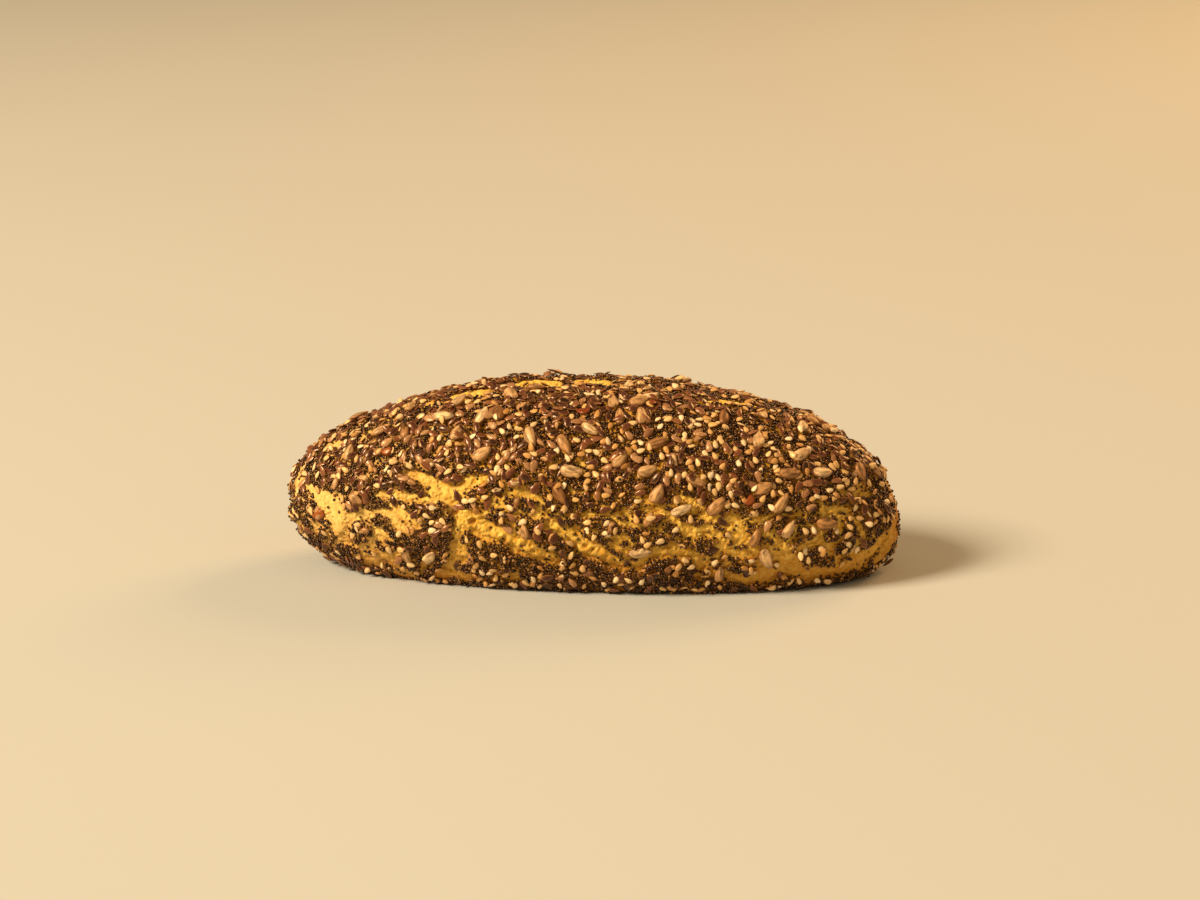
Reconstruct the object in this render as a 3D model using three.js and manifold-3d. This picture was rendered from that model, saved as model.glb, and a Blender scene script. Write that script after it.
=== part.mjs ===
// Turmeric bread: a long oval loaf baked on a flat tray, with whole sunflower kernels pressed into its crust.
//
// The loaf is one solid, as it was baked. Its length lies along X, its front faces -Y, and it rests on the
// plane z = 0 with the origin under the middle of the base. Each kernel is a solid of its own, sunk part of
// its thickness into a shallow dimple in the crust. All sizes are in millimetres and all angles in degrees.

import * as THREE from 'three';
import Module from 'manifold-3d';
import { mergeVertices } from 'three/addons/utils/BufferGeometryUtils.js';

const wasm = await Module();
wasm.setup();

// ---- Driving dimensions of the loaf ----

const LOAF_LENGTH = 240;
const LOAF_WIDTH = 96;
const LOAF_HEIGHT = 74;

// The girth is the loaf's widest line. It lies low, because the dough spread before it set.
const GIRTH_HEIGHT = 20;
// The girth climbs towards the tapered end at -X and drops towards the blunt end at +X.
const GIRTH_DROP = 2.2;
// How far the underside would reach below the girth if the tray didn't flatten it.
const UNDERSIDE_DEPTH = 37;

// A larger number makes an end blunter, and 2 is an ellipse.
const LEFT_END_BLUNTNESS = 2.05;
const RIGHT_END_BLUNTNESS = 2.6;

// Roundness of the cross-section: 2 is an ellipse, more is squarer, less is nearer to a straight slope.
const SIDE_ROUNDNESS = 2.2;
const TOP_ROUNDNESS = 2.1;
const UNDERSIDE_ROUNDNESS = 1.65;

const LOAF_STEPS_ALONG = 50;
const LOAF_STEPS_AROUND = 34;

// ---- Driving dimensions of the sunflower kernels ----

const KERNEL_LENGTH = 9.2;
const KERNEL_WIDTH = 4.4;
const KERNEL_THICKNESS = 2.4;
// How much narrower the pointed half of a kernel is than its round half.
const KERNEL_TAPER = 0.32;
const KERNEL_SINK = 0.5;
const KERNEL_STEPS_ALONG = 7;
const KERNEL_STEPS_AROUND = 8;

// Room left all round a kernel in its dimple.
const DIMPLE_GAP = 0.3;

// Kernels that stand out on the front and the crest, each as
// [mm along from the middle, degrees around, degrees turned].
// Around is 0 at the front of the girth and 90 at the crest.
// Turned is 0 with the kernel lying along the loaf and its point towards +X.
const FRONT_KERNELS = [
  [-59, -20, 55],
  [-68, -22, -80],
  [-70, 56, 95],
  [-55, 61, -10],
  [-49, 50, 65],
  [-40, 60, 70],
  [-50, 73, 60],
  [-39, 38, 30],
  [-21, 46, -70],
  [-30, 74, -55],
  [-21, 82, 0],
  [-9, 20, -55],
  [-5, 30, -5],
  [-8, 42, -60],
  [1, 50, -35],
  [13, 36, 55],
  [26, 45, 25],
  [21, -5, 5],
  [23, 32, 20],
  [27, 22, 60],
  [36, 16, 25],
  [41, 28, -20],
  [49, 18, 50],
  [9, 68, 90],
  [20, 60, 95],
  [23, 76, 30],
  [64, 5, 70],
  [66, 28, 25],
  [73, 21, 60],
  [76, 9, 55],
  [90, 12, 0],
  [68, -10, -70],
  [51, 66, 90],
  [64, 54, 90],
  [80, 50, 45],
  [76, 37, 10],
];

// The far side carries its kernels spread evenly along it, at angles that never line up.
const BACK_KERNEL_COUNT = 20;
const BACK_FIRST_ALONG = -92;
const BACK_LAST_ALONG = 92;
const BACK_LOWEST_AROUND = 100;
const BACK_AROUND_RANGE = 68;
const GOLDEN_RATIO = 0.618;
const BACK_TURN_STEP = 67;

const CRUST_COLOUR = 0xd9a62c;
const KERNEL_COLOUR = 0xb98f62;

// ---- Shapes ----

/** Raises a sine or cosine to a power and keeps its sign. */
function signedPower(value, power) {
  return Math.sign(value) * Math.abs(value) ** power;
}

/** Gives the crust point at a distance along (-1 to 1) and an angle around (radians, 0 at the front). */
function crustPoint(along, around) {
  const bluntness = along < 0 ? LEFT_END_BLUNTNESS : RIGHT_END_BLUNTNESS;
  const narrowing = Math.sqrt(Math.max(0, 1 - Math.abs(along) ** bluntness));
  const outward = signedPower(Math.cos(around), 2 / SIDE_ROUNDNESS);
  const upward = Math.sin(around);
  const rise = (LOAF_HEIGHT - GIRTH_HEIGHT) * signedPower(upward, 2 / TOP_ROUNDNESS);
  const fall = UNDERSIDE_DEPTH * signedPower(upward, 2 / UNDERSIDE_ROUNDNESS);
  return new THREE.Vector3(
    (along * LOAF_LENGTH) / 2,
    (-outward * narrowing * LOAF_WIDTH) / 2,
    GIRTH_HEIGHT - GIRTH_DROP * along + narrowing * (upward > 0 ? rise : fall),
  );
}

/**
 * Bends a sphere, whose poles lie at the two ends of a piece, into that piece's shape.
 * The around angle starts at -Y and climbs over +Z, which keeps the faces pointing outwards.
 */
function shapeFromSphere(stepsAlong, stepsAround, pointAt) {
  const geometry = new THREE.SphereGeometry(1, stepsAround, stepsAlong);
  const place = geometry.attributes.position;
  const sphere = new THREE.Vector3();
  for (let i = 0; i < place.count; i += 1) {
    sphere.fromBufferAttribute(place, i);
    const shaped = pointAt(THREE.MathUtils.clamp(sphere.y, -1, 1), Math.atan2(sphere.z, sphere.x));
    place.setXYZ(i, shaped.x, shaped.y, shaped.z);
  }
  geometry.deleteAttribute('normal');
  geometry.deleteAttribute('uv');
  return mergeVertices(geometry, 1e-4);
}

/** Makes a kernel: a flat almond, round at one end and pointed at the other, grown by a margin. */
function kernelGeometry(margin) {
  return shapeFromSphere(KERNEL_STEPS_ALONG, KERNEL_STEPS_AROUND, (along, around) => {
    const narrowing = Math.sqrt(Math.max(0, 1 - along * along)) * (1 - KERNEL_TAPER * along);
    return new THREE.Vector3(
      along * (KERNEL_LENGTH / 2 + margin),
      -narrowing * Math.cos(around) * (KERNEL_WIDTH / 2 + margin),
      narrowing * Math.sin(around) * (KERNEL_THICKNESS / 2 + margin),
    );
  });
}

/** Turns a closed geometry into a solid that can be cut. */
function toSolid(geometry) {
  return new wasm.Manifold(new wasm.Mesh({
    numProp: 3,
    vertProperties: new Float32Array(geometry.attributes.position.array),
    triVerts: new Uint32Array(geometry.index.array),
  }));
}

/** Turns a cut solid back into a geometry. */
function toGeometry(solid) {
  const mesh = solid.getMesh();
  const geometry = new THREE.BufferGeometry();
  geometry.setAttribute('position', new THREE.BufferAttribute(mesh.vertProperties, 3));
  geometry.setIndex(new THREE.BufferAttribute(mesh.triVerts, 1));
  geometry.computeVertexNormals();
  return geometry;
}

/** Flattens the underside where the loaf lay on its tray. */
function cutFlatBase(loafSolid) {
  const tray = new THREE.BoxGeometry(LOAF_LENGTH * 2, LOAF_WIDTH * 2, UNDERSIDE_DEPTH * 2);
  tray.translate(0, 0, -UNDERSIDE_DEPTH);
  tray.deleteAttribute('normal');
  tray.deleteAttribute('uv');
  return loafSolid.subtract(toSolid(mergeVertices(tray, 1e-4)));
}

/** Finds where a kernel lies: on the crust, flat against it, turned, and sunk a little way in. */
function kernelPlacement(mmAlong, degreesAround, degreesTurned) {
  const step = 1e-3;
  const along = (2 * mmAlong) / LOAF_LENGTH;
  const around = THREE.MathUtils.degToRad(degreesAround);
  const point = crustPoint(along, around);
  const lengthwise = crustPoint(along + step, around).sub(crustPoint(along - step, around)).normalize();
  const crosswise = crustPoint(along, around + step).sub(crustPoint(along, around - step));
  const outward = lengthwise.clone().cross(crosswise).normalize();
  const sideways = outward.clone().cross(lengthwise);
  const placement = new THREE.Matrix4().makeBasis(lengthwise, sideways, outward);
  placement.multiply(new THREE.Matrix4().makeRotationZ(THREE.MathUtils.degToRad(degreesTurned)));
  placement.setPosition(point.addScaledVector(outward, KERNEL_THICKNESS / 2 - KERNEL_SINK));
  return placement;
}

/** Lists the kernels of the far side in the same form as FRONT_KERNELS. */
function backKernels() {
  const alongStep = (BACK_LAST_ALONG - BACK_FIRST_ALONG) / (BACK_KERNEL_COUNT - 1);
  return Array.from({ length: BACK_KERNEL_COUNT }, (_, i) => [
    BACK_FIRST_ALONG + i * alongStep,
    BACK_LOWEST_AROUND + BACK_AROUND_RANGE * ((i * GOLDEN_RATIO) % 1),
    i * BACK_TURN_STEP,
  ]);
}

// ---- Assembly ----

const crustMaterial = new THREE.MeshStandardMaterial({ color: CRUST_COLOUR, roughness: 0.85, metalness: 0 });
const kernelMaterial = new THREE.MeshStandardMaterial({ color: KERNEL_COLOUR, roughness: 0.6, metalness: 0 });

const group = new THREE.Group();

const placements = [...FRONT_KERNELS, ...backKernels()].map((kernel) => kernelPlacement(...kernel));

const baked = shapeFromSphere(LOAF_STEPS_ALONG, LOAF_STEPS_AROUND, crustPoint);
let loafSolid = cutFlatBase(toSolid(baked));
for (const placement of placements) {
  loafSolid = loafSolid.subtract(toSolid(kernelGeometry(DIMPLE_GAP).applyMatrix4(placement)));
}

const loaf = new THREE.Mesh(toGeometry(loafSolid), crustMaterial);
loaf.name = 'loaf';
group.add(loaf);

placements.forEach((placement, i) => {
  const kernel = new THREE.Mesh(kernelGeometry(0), kernelMaterial.clone());
  kernel.name = `kernel_${String(i + 1).padStart(2, '0')}`;
  kernel.applyMatrix4(placement);
  group.add(kernel);
});

export default group;
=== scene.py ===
# %% [markdown]
# # A seeded turmeric loaf
#
# This notebook dresses a plain CAD loaf as a real one. The dough was coloured with turmeric, rolled in a mix of
# poppy, sesame, flax and sunflower seeds, and baked on a flat tray. As it rose, the seeded skin tore along its
# sides and crest, and the bright yellow crumb swelled out of the tears.
#
# Everything is in metres in the CAD frame: +X runs along the loaf to its blunt end, -Y is its front, and z = 0 is
# the table. The CAD pieces are only read here, never moved.

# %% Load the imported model
import math

import bmesh
import bpy
import numpy as np
from mathutils import Matrix, Vector, noise
from mathutils.bvhtree import BVHTree
from mathutils.kdtree import KDTree


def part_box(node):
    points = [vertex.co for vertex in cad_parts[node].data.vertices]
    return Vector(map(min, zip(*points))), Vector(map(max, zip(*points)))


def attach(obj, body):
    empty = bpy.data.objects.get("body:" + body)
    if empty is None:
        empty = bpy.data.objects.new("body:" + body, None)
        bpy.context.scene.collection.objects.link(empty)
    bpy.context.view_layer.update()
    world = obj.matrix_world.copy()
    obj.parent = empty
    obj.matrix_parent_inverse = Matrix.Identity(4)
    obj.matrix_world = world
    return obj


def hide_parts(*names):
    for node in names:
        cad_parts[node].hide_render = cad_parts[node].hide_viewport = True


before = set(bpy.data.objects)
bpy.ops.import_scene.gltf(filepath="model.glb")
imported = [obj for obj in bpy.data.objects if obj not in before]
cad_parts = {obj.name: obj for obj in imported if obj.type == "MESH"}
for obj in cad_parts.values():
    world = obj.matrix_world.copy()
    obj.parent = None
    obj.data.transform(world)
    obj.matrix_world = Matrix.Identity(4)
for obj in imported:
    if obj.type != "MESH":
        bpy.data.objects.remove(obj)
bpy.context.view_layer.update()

MM = 0.001
loaf_low, loaf_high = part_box("loaf")

# %% [markdown]
# ## The camera comes first
#
# The loaf is seen a little from above and almost square on. A long lens from just over a metre keeps its two ends
# nearly the same size, as in a product picture. The camera is aimed by building its turn from the look direction,
# which is steadier than typing three angles by hand.

# %% Place the camera
CAMERA_AZIMUTH = math.radians(4)
CAMERA_ELEVATION = math.radians(15)
CAMERA_DISTANCE = 1.1
LENS_MM = 85.6
LOAF_CENTRE = Vector((0, 0, 0.035))
# Aiming a little above the loaf's middle sets it a little low in the picture.
AIM_POINT = Vector((0.0027, 0, 0.0454))

camera_side = Vector((math.sin(CAMERA_AZIMUTH), -math.cos(CAMERA_AZIMUTH), 0))
camera_side = camera_side * math.cos(CAMERA_ELEVATION)
camera_rise = Vector((0, 0, math.sin(CAMERA_ELEVATION)))
camera_place = LOAF_CENTRE + (camera_side + camera_rise) * CAMERA_DISTANCE
camera_data = bpy.data.cameras.new("camera")
camera_data.lens = LENS_MM
camera = bpy.data.objects.new("camera", camera_data)
camera.location = camera_place
camera.rotation_euler = (AIM_POINT - camera_place).to_track_quat("-Z", "Y").to_euler()
bpy.context.scene.collection.objects.link(camera)
bpy.context.scene.camera = camera
print("camera at", [round(c, 3) for c in camera_place])

# %% [markdown]
# ## Colours and shader nodes
#
# Colours are written as the sRGB hex values that a maker would pick from a swatch, and one function turns them
# into the linear values that shaders work in. One function adds any shader node with its settings and links, which
# keeps each material below readable from top to bottom, in the order in which the nodes feed each other.

# %% Helpers for colours and nodes
def hex_colour(text):
    """Turns an sRGB hex colour into linear red, green, blue and alpha."""
    parts = [int(text[i:i + 2], 16) / 255 for i in (1, 3, 5)]
    linear = [p / 12.92 if p <= 0.04045 else ((p + 0.055) / 1.055) ** 2.4 for p in parts]
    return (*linear, 1.0)


def add_node(material, kind, inputs=None, **settings):
    """Adds a shader node. Inputs are values, or (node, output name) pairs to link."""
    tree = material.node_tree
    node = tree.nodes.new(kind)
    for name, value in settings.items():
        setattr(node, name, value)
    for name, value in (inputs or {}).items():
        if isinstance(value, tuple) and isinstance(value[0], bpy.types.Node):
            tree.links.new(value[0].outputs[value[1]], node.inputs[name])
        else:
            node.inputs[name].default_value = value
    return node


def new_material(name):
    """Makes an empty node material and gives back it and its surface shader."""
    material = bpy.data.materials.new(name)
    material.use_nodes = True
    return material, material.node_tree.nodes["Principled BSDF"]


def link(material, node, output, target, socket):
    """Links one node's output to another's input."""
    material.node_tree.links.new(node.outputs[output], target.inputs[socket])


def set_shades(ramp, shades):
    """Fills a colour ramp from (position, hex colour) pairs in rising order."""
    for element, (position, colour) in zip(ramp.elements, (shades[0], shades[-1])):
        element.position = position
        element.color = hex_colour(colour)
    for position, colour in shades[1:-1]:
        ramp.elements.new(position).color = hex_colour(colour)


print("pure white is", hex_colour("#FFFFFF"))

# %% [markdown]
# ## Noise
#
# Nothing about a baked loaf is regular, so nearly every step below leans on noise. It is read point by point from
# Blender's own noise module, with its grain size given in millimetres. That module picks a new random offset at
# each start unless it is given a seed, so it is given one here, and the loaf comes out the same each time.

# %% Helpers for noise
NOISE_SEED = 2
noise.seed_set(NOISE_SEED)


def noise_offset(shift):
    """Moves a pattern to another part of the noise, so that no two patterns agree."""
    return Vector((shift, shift * 0.7, shift * 1.3))


def noise_at(points, grain, shift=0.0):
    """Smooth noise from about -1 to 1 at each point. Points and grain are in millimetres."""
    offset = noise_offset(shift)
    return np.array([noise.noise(Vector(p) / grain + offset) for p in points.tolist()])


def noise_push(points, grain, shift=0.0):
    """A smooth random direction at each point, for warping an edge."""
    offset = noise_offset(shift)
    return np.array([noise.noise_vector(Vector(p) / grain + offset) for p in points.tolist()])


def smooth_step(low, high, value):
    """Climbs softly from 0 at low to 1 at high."""
    t = np.clip((value - low) / (high - low), 0, 1)
    return t * t * (3 - 2 * t)


print("noise at the middle of the base:", noise_at(np.zeros((1, 3)), 10, 5.0).round(3))

# %% [markdown]
# ## The form of the loaf
#
# The crust follows the same rule as the CAD loaf: a stretched sphere, flattened below by the tray, with the widest
# line low down, one end tapered and the other blunt. Its size comes from the CAD piece itself, less the thickness
# of the seed layer, since the CAD form is the outside of the seeds. The rule takes a distance along (-1 to 1) and
# an angle around (0 at the front of the widest line, a quarter turn at the crest). Tears and single seeds are
# placed with the same two numbers, written as millimetres along the whole loaf and degrees around it.

# %% The rule for the crust
# How far the seed layer stands out from the dough at the ends and sides, and on the crest.
SIDE_SEEDS_MM = 2.2
TOP_SEEDS_MM = 3.5
cad_length, cad_width, cad_height = [(b - a) / MM for a, b in zip(loaf_low, loaf_high)]
LENGTH = cad_length - 2 * SIDE_SEEDS_MM
WIDTH = cad_width - 2 * SIDE_SEEDS_MM
HEIGHT = cad_height - TOP_SEEDS_MM
# The widest line lies low, and it drops a little towards the blunt end.
GIRTH_HEIGHT = 20
GIRTH_DROP = 2.2
# How far the underside would reach below that line if the tray didn't flatten it.
UNDERSIDE_DEPTH = 37
# A larger number makes an end blunter or a side squarer, and 2 is an ellipse.
LEFT_BLUNTNESS = 2.05
RIGHT_BLUNTNESS = 2.6
SIDE_ROUNDNESS = 2.2
TOP_ROUNDNESS = 2.1
UNDERSIDE_ROUNDNESS = 1.65


def signed_power(value, power):
    """Raises the size of a value to a power and keeps its sign."""
    return np.sign(value) * np.abs(value) ** power


def crust_point(along, around):
    """The point of the smooth crust, in millimetres, at a distance along and an angle around."""
    along = np.asarray(along, float)
    around = np.asarray(around, float)
    bluntness = np.where(along < 0, LEFT_BLUNTNESS, RIGHT_BLUNTNESS)
    narrowing = np.sqrt(np.clip(1 - np.abs(along) ** bluntness, 0, 1))
    outward = signed_power(np.cos(around), 2 / SIDE_ROUNDNESS)
    upward = np.sin(around)
    rise = (HEIGHT - GIRTH_HEIGHT) * signed_power(upward, 2 / TOP_ROUNDNESS)
    fall = UNDERSIDE_DEPTH * signed_power(upward, 2 / UNDERSIDE_ROUNDNESS)
    x = along * LENGTH / 2
    y = -outward * narrowing * WIDTH / 2
    z = GIRTH_HEIGHT - GIRTH_DROP * along + narrowing * np.where(upward > 0, rise, fall)
    return np.stack([x, y, np.maximum(z, 0)], axis=-1)


def crust_spots(mm_and_degrees):
    """Crust points for a list of (mm along the whole loaf, degrees around it)."""
    along, around = np.array([spot[:2] for spot in mm_and_degrees], float).T
    return crust_point(2 * along / cad_length, np.radians(around))


print("dough top", crust_spots([(0, 90)])[0].round(1), "mm")

# %% [markdown]
# ## Where the skin tore
#
# As the loaf swelled in the oven, the dry seeded skin couldn't stretch, so it tore in long ragged streaks, mostly
# low on the sides, and once along the crest. Each streak is drawn like a pencil line over the form, as
# (mm along, degrees around) points, with half its width and its depth in millimetres. Where the dough pushed the
# skin out and wore it bare, the depth is below zero: a swelling, not a hollow.

# %% Draw the tears of the front and the crest
FRONT_TEARS = {
    "main": (4.5, 1.6, [(-53, 18), (-49, 12), (-43, 8), (-36, 5), (-29, 1), (-22, -4), (-16, -9), (-11, -11)]),
    "channel": (3.5, 0.9, [(-47, 7), (-48, -4), (-49, -15), (-52, -28)]),
    "channel foot": (3.0, 0.2, [(-58, -32), (-52, -31), (-45, -31)]),
    "left bulge": (6.8, -1.2, [(-101, 17), (-98, 7), (-94, -3)]),
    "bulge left": (2.0, -0.3, [(-103, 12), (-107, 22), (-113, 38)]),
    "bulge right": (1.8, 0.2, [(-91, 6), (-84, 11), (-75, 7), (-69, 1)]),
    "left tip": (2.7, -0.4, [(-112, 66), (-114, 45), (-115, 22)]),
    "net upper": (3.0, 0.8, [(-67, 33), (-60, 26), (-53, 21), (-46, 25), (-39, 27)]),
    "net heart": (4.4, 0.7, [(-59, 21), (-53, 20), (-47, 22)]),
    "net middle": (2.6, 0.7, [(-80, 21), (-70, 17), (-61, 16), (-54, 18)]),
    "net lower": (2.4, 0.6, [(-76, 13), (-69, 8), (-64, 6)]),
    "middle bridge": (1.7, 0.8, [(-40, 17), (-31, 19), (-23, 21), (-16, 18), (-10, 13)]),
    "middle upper": (1.1, 0.6, [(-16, 25), (-7, 23), (6, 23)]),
    "middle top": (0.9, 0.5, [(-17, 34), (-7, 35), (1, 34)]),
    "fork": (3.8, 1.4, [(-12, 7), (-4, 4), (2, 0), (7, -8), (13, -13), (20, -14)]),
    "fork right": (3.0, 1.0, [(20, -14), (26, -6), (33, -1), (39, -3), (42, -12), (43, -22)]),
    "band": (2.1, 1.2, [(-2, 12), (10, 15), (25, 15), (38, 16), (50, 12), (59, 13), (70, 16), (80, 18)]),
    "band branch": (1.6, 0.7, [(34, 25), (38, 21), (41, 17)]),
    "under band": (1.9, 0.9, [(31, 13), (38, 8), (45, 6), (53, 8), (60, 9)]),
    "right band": (2.2, 1.0, [(80, 18), (88, 20), (96, 23), (103, 26)]),
    "right gap": (1.4, 0.5, [(96, 34), (102, 39), (108, 39)]),
    "right curl": (2.1, 0.9, [(67, 9), (72, 3), (78, -1), (84, 2), (90, 7)]),
    "faint": (2.5, 0.5, [(48, 0), (60, -5), (69, -2), (76, 0)]),
    "low band": (3.8, 0.6, [(49, -23), (60, -26), (75, -24), (90, -29), (102, -32), (110, -25), (114, -6)]),
    "end cap": (7.6, -0.3, [(116, 92), (119, 75), (120, 40), (119, -10), (116, -34), (114, -50)]),
    "end cap back": (5.0, -0.3, [(115, 105), (117, 130), (117, 160), (115, 200)]),
    "shoulder": (1.1, 0.4, [(103, 82), (110, 88), (114, 91)]),
    "crest left": (3.8, -1.4, [(-53, 81), (-47, 84), (-41, 84)]),
    "crest middle": (4.2, -1.9, [(-29, 88), (-22, 91), (-14, 89)]),
    "crest peak": (4.6, -2.0, [(-8, 91), (0, 94), (7, 91)]),
    "crest thin": (1.7, -1.2, [(-41, 85), (-29, 88), (-12, 90), (8, 92), (20, 90), (34, 88)]),
    "crest right": (1.9, -1.0, [(45, 80), (54, 82), (62, 83), (74, 80)]),
    "top gap": (1.2, 0.2, [(-28, 52), (-24, 46)]),
    "left gap": (1.4, 0.2, [(-84, 50), (-79, 41)]),
    "left shoulder": (2.2, 0.2, [(-104, 72), (-99, 66)]),
    "left temple": (1.8, 0.2, [(-89, 66), (-84, 62)]),
    "left brow": (1.7, 0.2, [(-80, 75), (-74, 73)]),
    "left crown": (1.9, 0.2, [(-68, 82), (-62, 80)]),
    "left slant": (1.3, 0.4, [(-88, -5), (-79, -11), (-70, -18), (-61, -25)]),
    "left foot": (1.4, 0.1, [(-98, -30), (-88, -37), (-76, -41), (-64, -42)]),
}
print(len(FRONT_TEARS), "tears drawn by hand")

# %% [markdown]
# ## The far side's tears
#
# The far side tore in the same way. Its streaks come from a seeded random walk: each starts somewhere along the
# loaf, takes a few steps towards the blunt end, and wanders up and down as it goes. Two in three start low down,
# where the skin is stretched most. The golden ratio spreads the starts without a visible rhythm.

# %% Walk the tears of the far side
GOLDEN_RATIO = 0.618
BACK_TEAR_COUNT = 15
BACK_SPREAD_MM = (-100, 90)
BACK_END_MM = 112
# Degrees around the loaf: the far side's upper limit, the line between high and low, and its lower limit.
BACK_TOP, BACK_MIDDLE, BACK_LOW = 118, 150, 205
BACK_HALF_WIDTHS_MM = (1.4, 3.2)
BACK_DEPTHS_MM = (0.6, 1.5)
TEAR_STEP_MM = 11
TEAR_DRIFT = 5
TEAR_WOBBLE = 4


def back_tears(rng):
    """Walks ragged streaks along the far side, mostly low down, as on the front."""
    tears = []
    for i in range(BACK_TEAR_COUNT):
        starts_low = i % 3 > 0
        around = rng.uniform(BACK_MIDDLE, BACK_LOW) if starts_low else rng.uniform(BACK_TOP, BACK_MIDDLE)
        start = BACK_SPREAD_MM[0] + (BACK_SPREAD_MM[1] - BACK_SPREAD_MM[0]) * ((i * GOLDEN_RATIO) % 1)
        steps = rng.integers(2, 6)
        drift = rng.uniform(-TEAR_DRIFT, TEAR_DRIFT)
        path = [(start + k * TEAR_STEP_MM, around + k * drift + rng.uniform(-TEAR_WOBBLE, TEAR_WOBBLE))
                for k in range(steps + 1)]
        path = [(x, a) for x, a in path if x < BACK_END_MM]
        if len(path) > 1:
            tears.append((rng.uniform(*BACK_HALF_WIDTHS_MM), rng.uniform(*BACK_DEPTHS_MM), path))
    return tears


rng = np.random.default_rng(11)
all_tears = list(FRONT_TEARS.values()) + back_tears(rng)
print(len(all_tears), "tears in all")

# %% [markdown]
# ## Tears as short pieces
#
# A streak drawn in millimetres and degrees has to become lines in space before distances to it can be measured.
# Each of its stretches is cut in three, so that it bends over the form and doesn't cut through it.

# %% Cut the tears into short straight pieces
CUTS_PER_STRETCH = 3


def tear_segments(tears):
    """Cuts every streak into short straight pieces on the form: start, end, half width and depth."""
    starts, ends, widths, depths = [], [], [], []
    for half_width, depth, path in tears:
        fine = []
        for (x0, a0), (x1, a1) in zip(path, path[1:]):
            fine += [(x0 + (x1 - x0) * k / CUTS_PER_STRETCH, a0 + (a1 - a0) * k / CUTS_PER_STRETCH)
                     for k in range(CUTS_PER_STRETCH)]
        fine.append(path[-1])
        spots = crust_spots(fine)
        # A tear narrows to about half its width at both of its ends.
        reach = np.linspace(0, 1, len(spots))
        taper = 0.55 + 0.45 * np.sin(np.pi * reach) ** 0.5
        starts += list(spots[:-1])
        ends += list(spots[1:])
        widths += list(half_width * (taper[:-1] + taper[1:]) / 2)
        depths += [depth] * (len(spots) - 1)
    return np.array(starts), np.array(ends), np.array(widths), np.array(depths)


TEARS = tear_segments(all_tears)
print(len(all_tears), "tears in", len(TEARS[0]), "pieces")

# %% [markdown]
# ## The net of fine cracks
#
# Between the big tears the skin also crazed into a fine net, like drying mud. A cell pattern (Voronoi) has just
# such a net in it: the lines along which the two nearest cell centres are equally far away. The net is stretched
# along the loaf, since the dough swelled round its girth, and it fades out where the skin held.

# %% Measure the cracks
CRACK_CELL_MM = 8.0
CRACK_STRETCH = 1.6
CRACK_WARP_MM = 1.6
CRACK_HALF_WIDTH_MM = 1.15
CRACK_DEPTH_MM = 0.5
# Which part of the endless cell pattern is used. Another value gives another net of the same kind.
CRACK_SHIFT = Vector((43.8, 18.6, 34.2))
# Outside a tear, both fields fall by 1 for each of these distances, down to the value for far away.
FALL_MM = 2.2
FAR_OUTSIDE = -9.0


def crack_zone(points):
    """How strong the cracks are: full low on the sides and towards the tapered end, none above."""
    height = points[:, 2]
    zone = smooth_step(2, 9, height) * smooth_step(47, 24, height)
    patches = smooth_step(-0.3, 0.3, noise_at(points, 26, 17.0))
    return zone * (patches * (0.5 + 0.4 * smooth_step(-15, -70, points[:, 0])))


def crack_field(points):
    """How far inside a fine crack each point is: 1 on its middle line, 0 at its edge, below 0 outside."""
    zone = crack_zone(points)
    warped = points / np.array([CRACK_STRETCH, 1, 1]) + CRACK_WARP_MM * noise_push(points, 5, 4.4)
    inside = np.full(len(points), FAR_OUTSIDE)
    for row in np.flatnonzero(zone > 0.05).tolist():
        distances, _ = noise.voronoi(Vector(warped[row]) / CRACK_CELL_MM + CRACK_SHIFT)
        gap = (distances[1] - distances[0]) * CRACK_CELL_MM / 2
        width = CRACK_HALF_WIDTH_MM * zone[row]
        inside[row] = 1 - gap / width if gap < width else (width - gap) / FALL_MM
    return inside


# %% [markdown]
# ## The tear field
#
# The tear field says how deep inside a tear or a crack a point lies: 1 on its middle line, 0 at its edge, and below
# 0 outside. The points are warped by noise first, so the edges come out ragged, with bays and small islands. The
# same field later shapes the crust, colours it, and keeps seeds off the bare crumb, so all three agree.

# %% Measure the tear field
EDGE_WARP_MM = 2.6
FINE_WARP_MM = 1.6
# A piece of a tear changes nothing further than this along the loaf, so it is only measured nearby.
TEAR_REACH_MM = 22


def tear_field(points):
    """How far inside a tear each point is, and the depth of the tear nearest to it."""
    warped = points + EDGE_WARP_MM * noise_push(points, 11, 3.1) + FINE_WARP_MM * noise_push(points, 3.6, 8.7)
    inside = np.full(len(points), FAR_OUTSIDE)
    depth = np.zeros(len(points))
    for start, end, width, deep in zip(*TEARS):
        near = np.abs(points[:, 0] - (start[0] + end[0]) / 2) < TEAR_REACH_MM
        offset = warped[near] - start
        along = end - start
        share = np.clip(offset @ along / (along @ along), 0, 1)
        distance = np.linalg.norm(offset - share[:, None] * along, axis=1)
        value = 1 - distance / width
        value = np.where(value < 0, (1 - distance / width) * width / FALL_MM, value)
        better = value > inside[near]
        rows = np.flatnonzero(near)[better]
        inside[rows] = value[better]
        depth[rows] = deep
    cracks = crack_field(points)
    depth = np.where(cracks > inside, CRACK_DEPTH_MM, depth)
    return np.maximum(inside, cracks), depth


print("at the middle of the main tear:", tear_field(crust_spots([(-36, 5)]))[0].round(2))

# %% [markdown]
# ## Even rings and spokes
#
# A UV sphere already has rings and spokes, which suit a loaf. Bent straight into the form, though, its faces would
# crowd at the ends. So the form is walked once from end to end and once around, and the distances walked say where
# the rings and spokes have to lie. Spokes are packed closer on the crust than on the hidden base.

# %% Space the rings and spokes
RING_GAP_MM = 1.4
SPOKES = 200
BASE_WEIGHT = 0.4
WALK_STEPS = 2001
# The walk along the loaf follows the line at this angle around it, halfway up its front.
WALK_AROUND = 0.6

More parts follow.
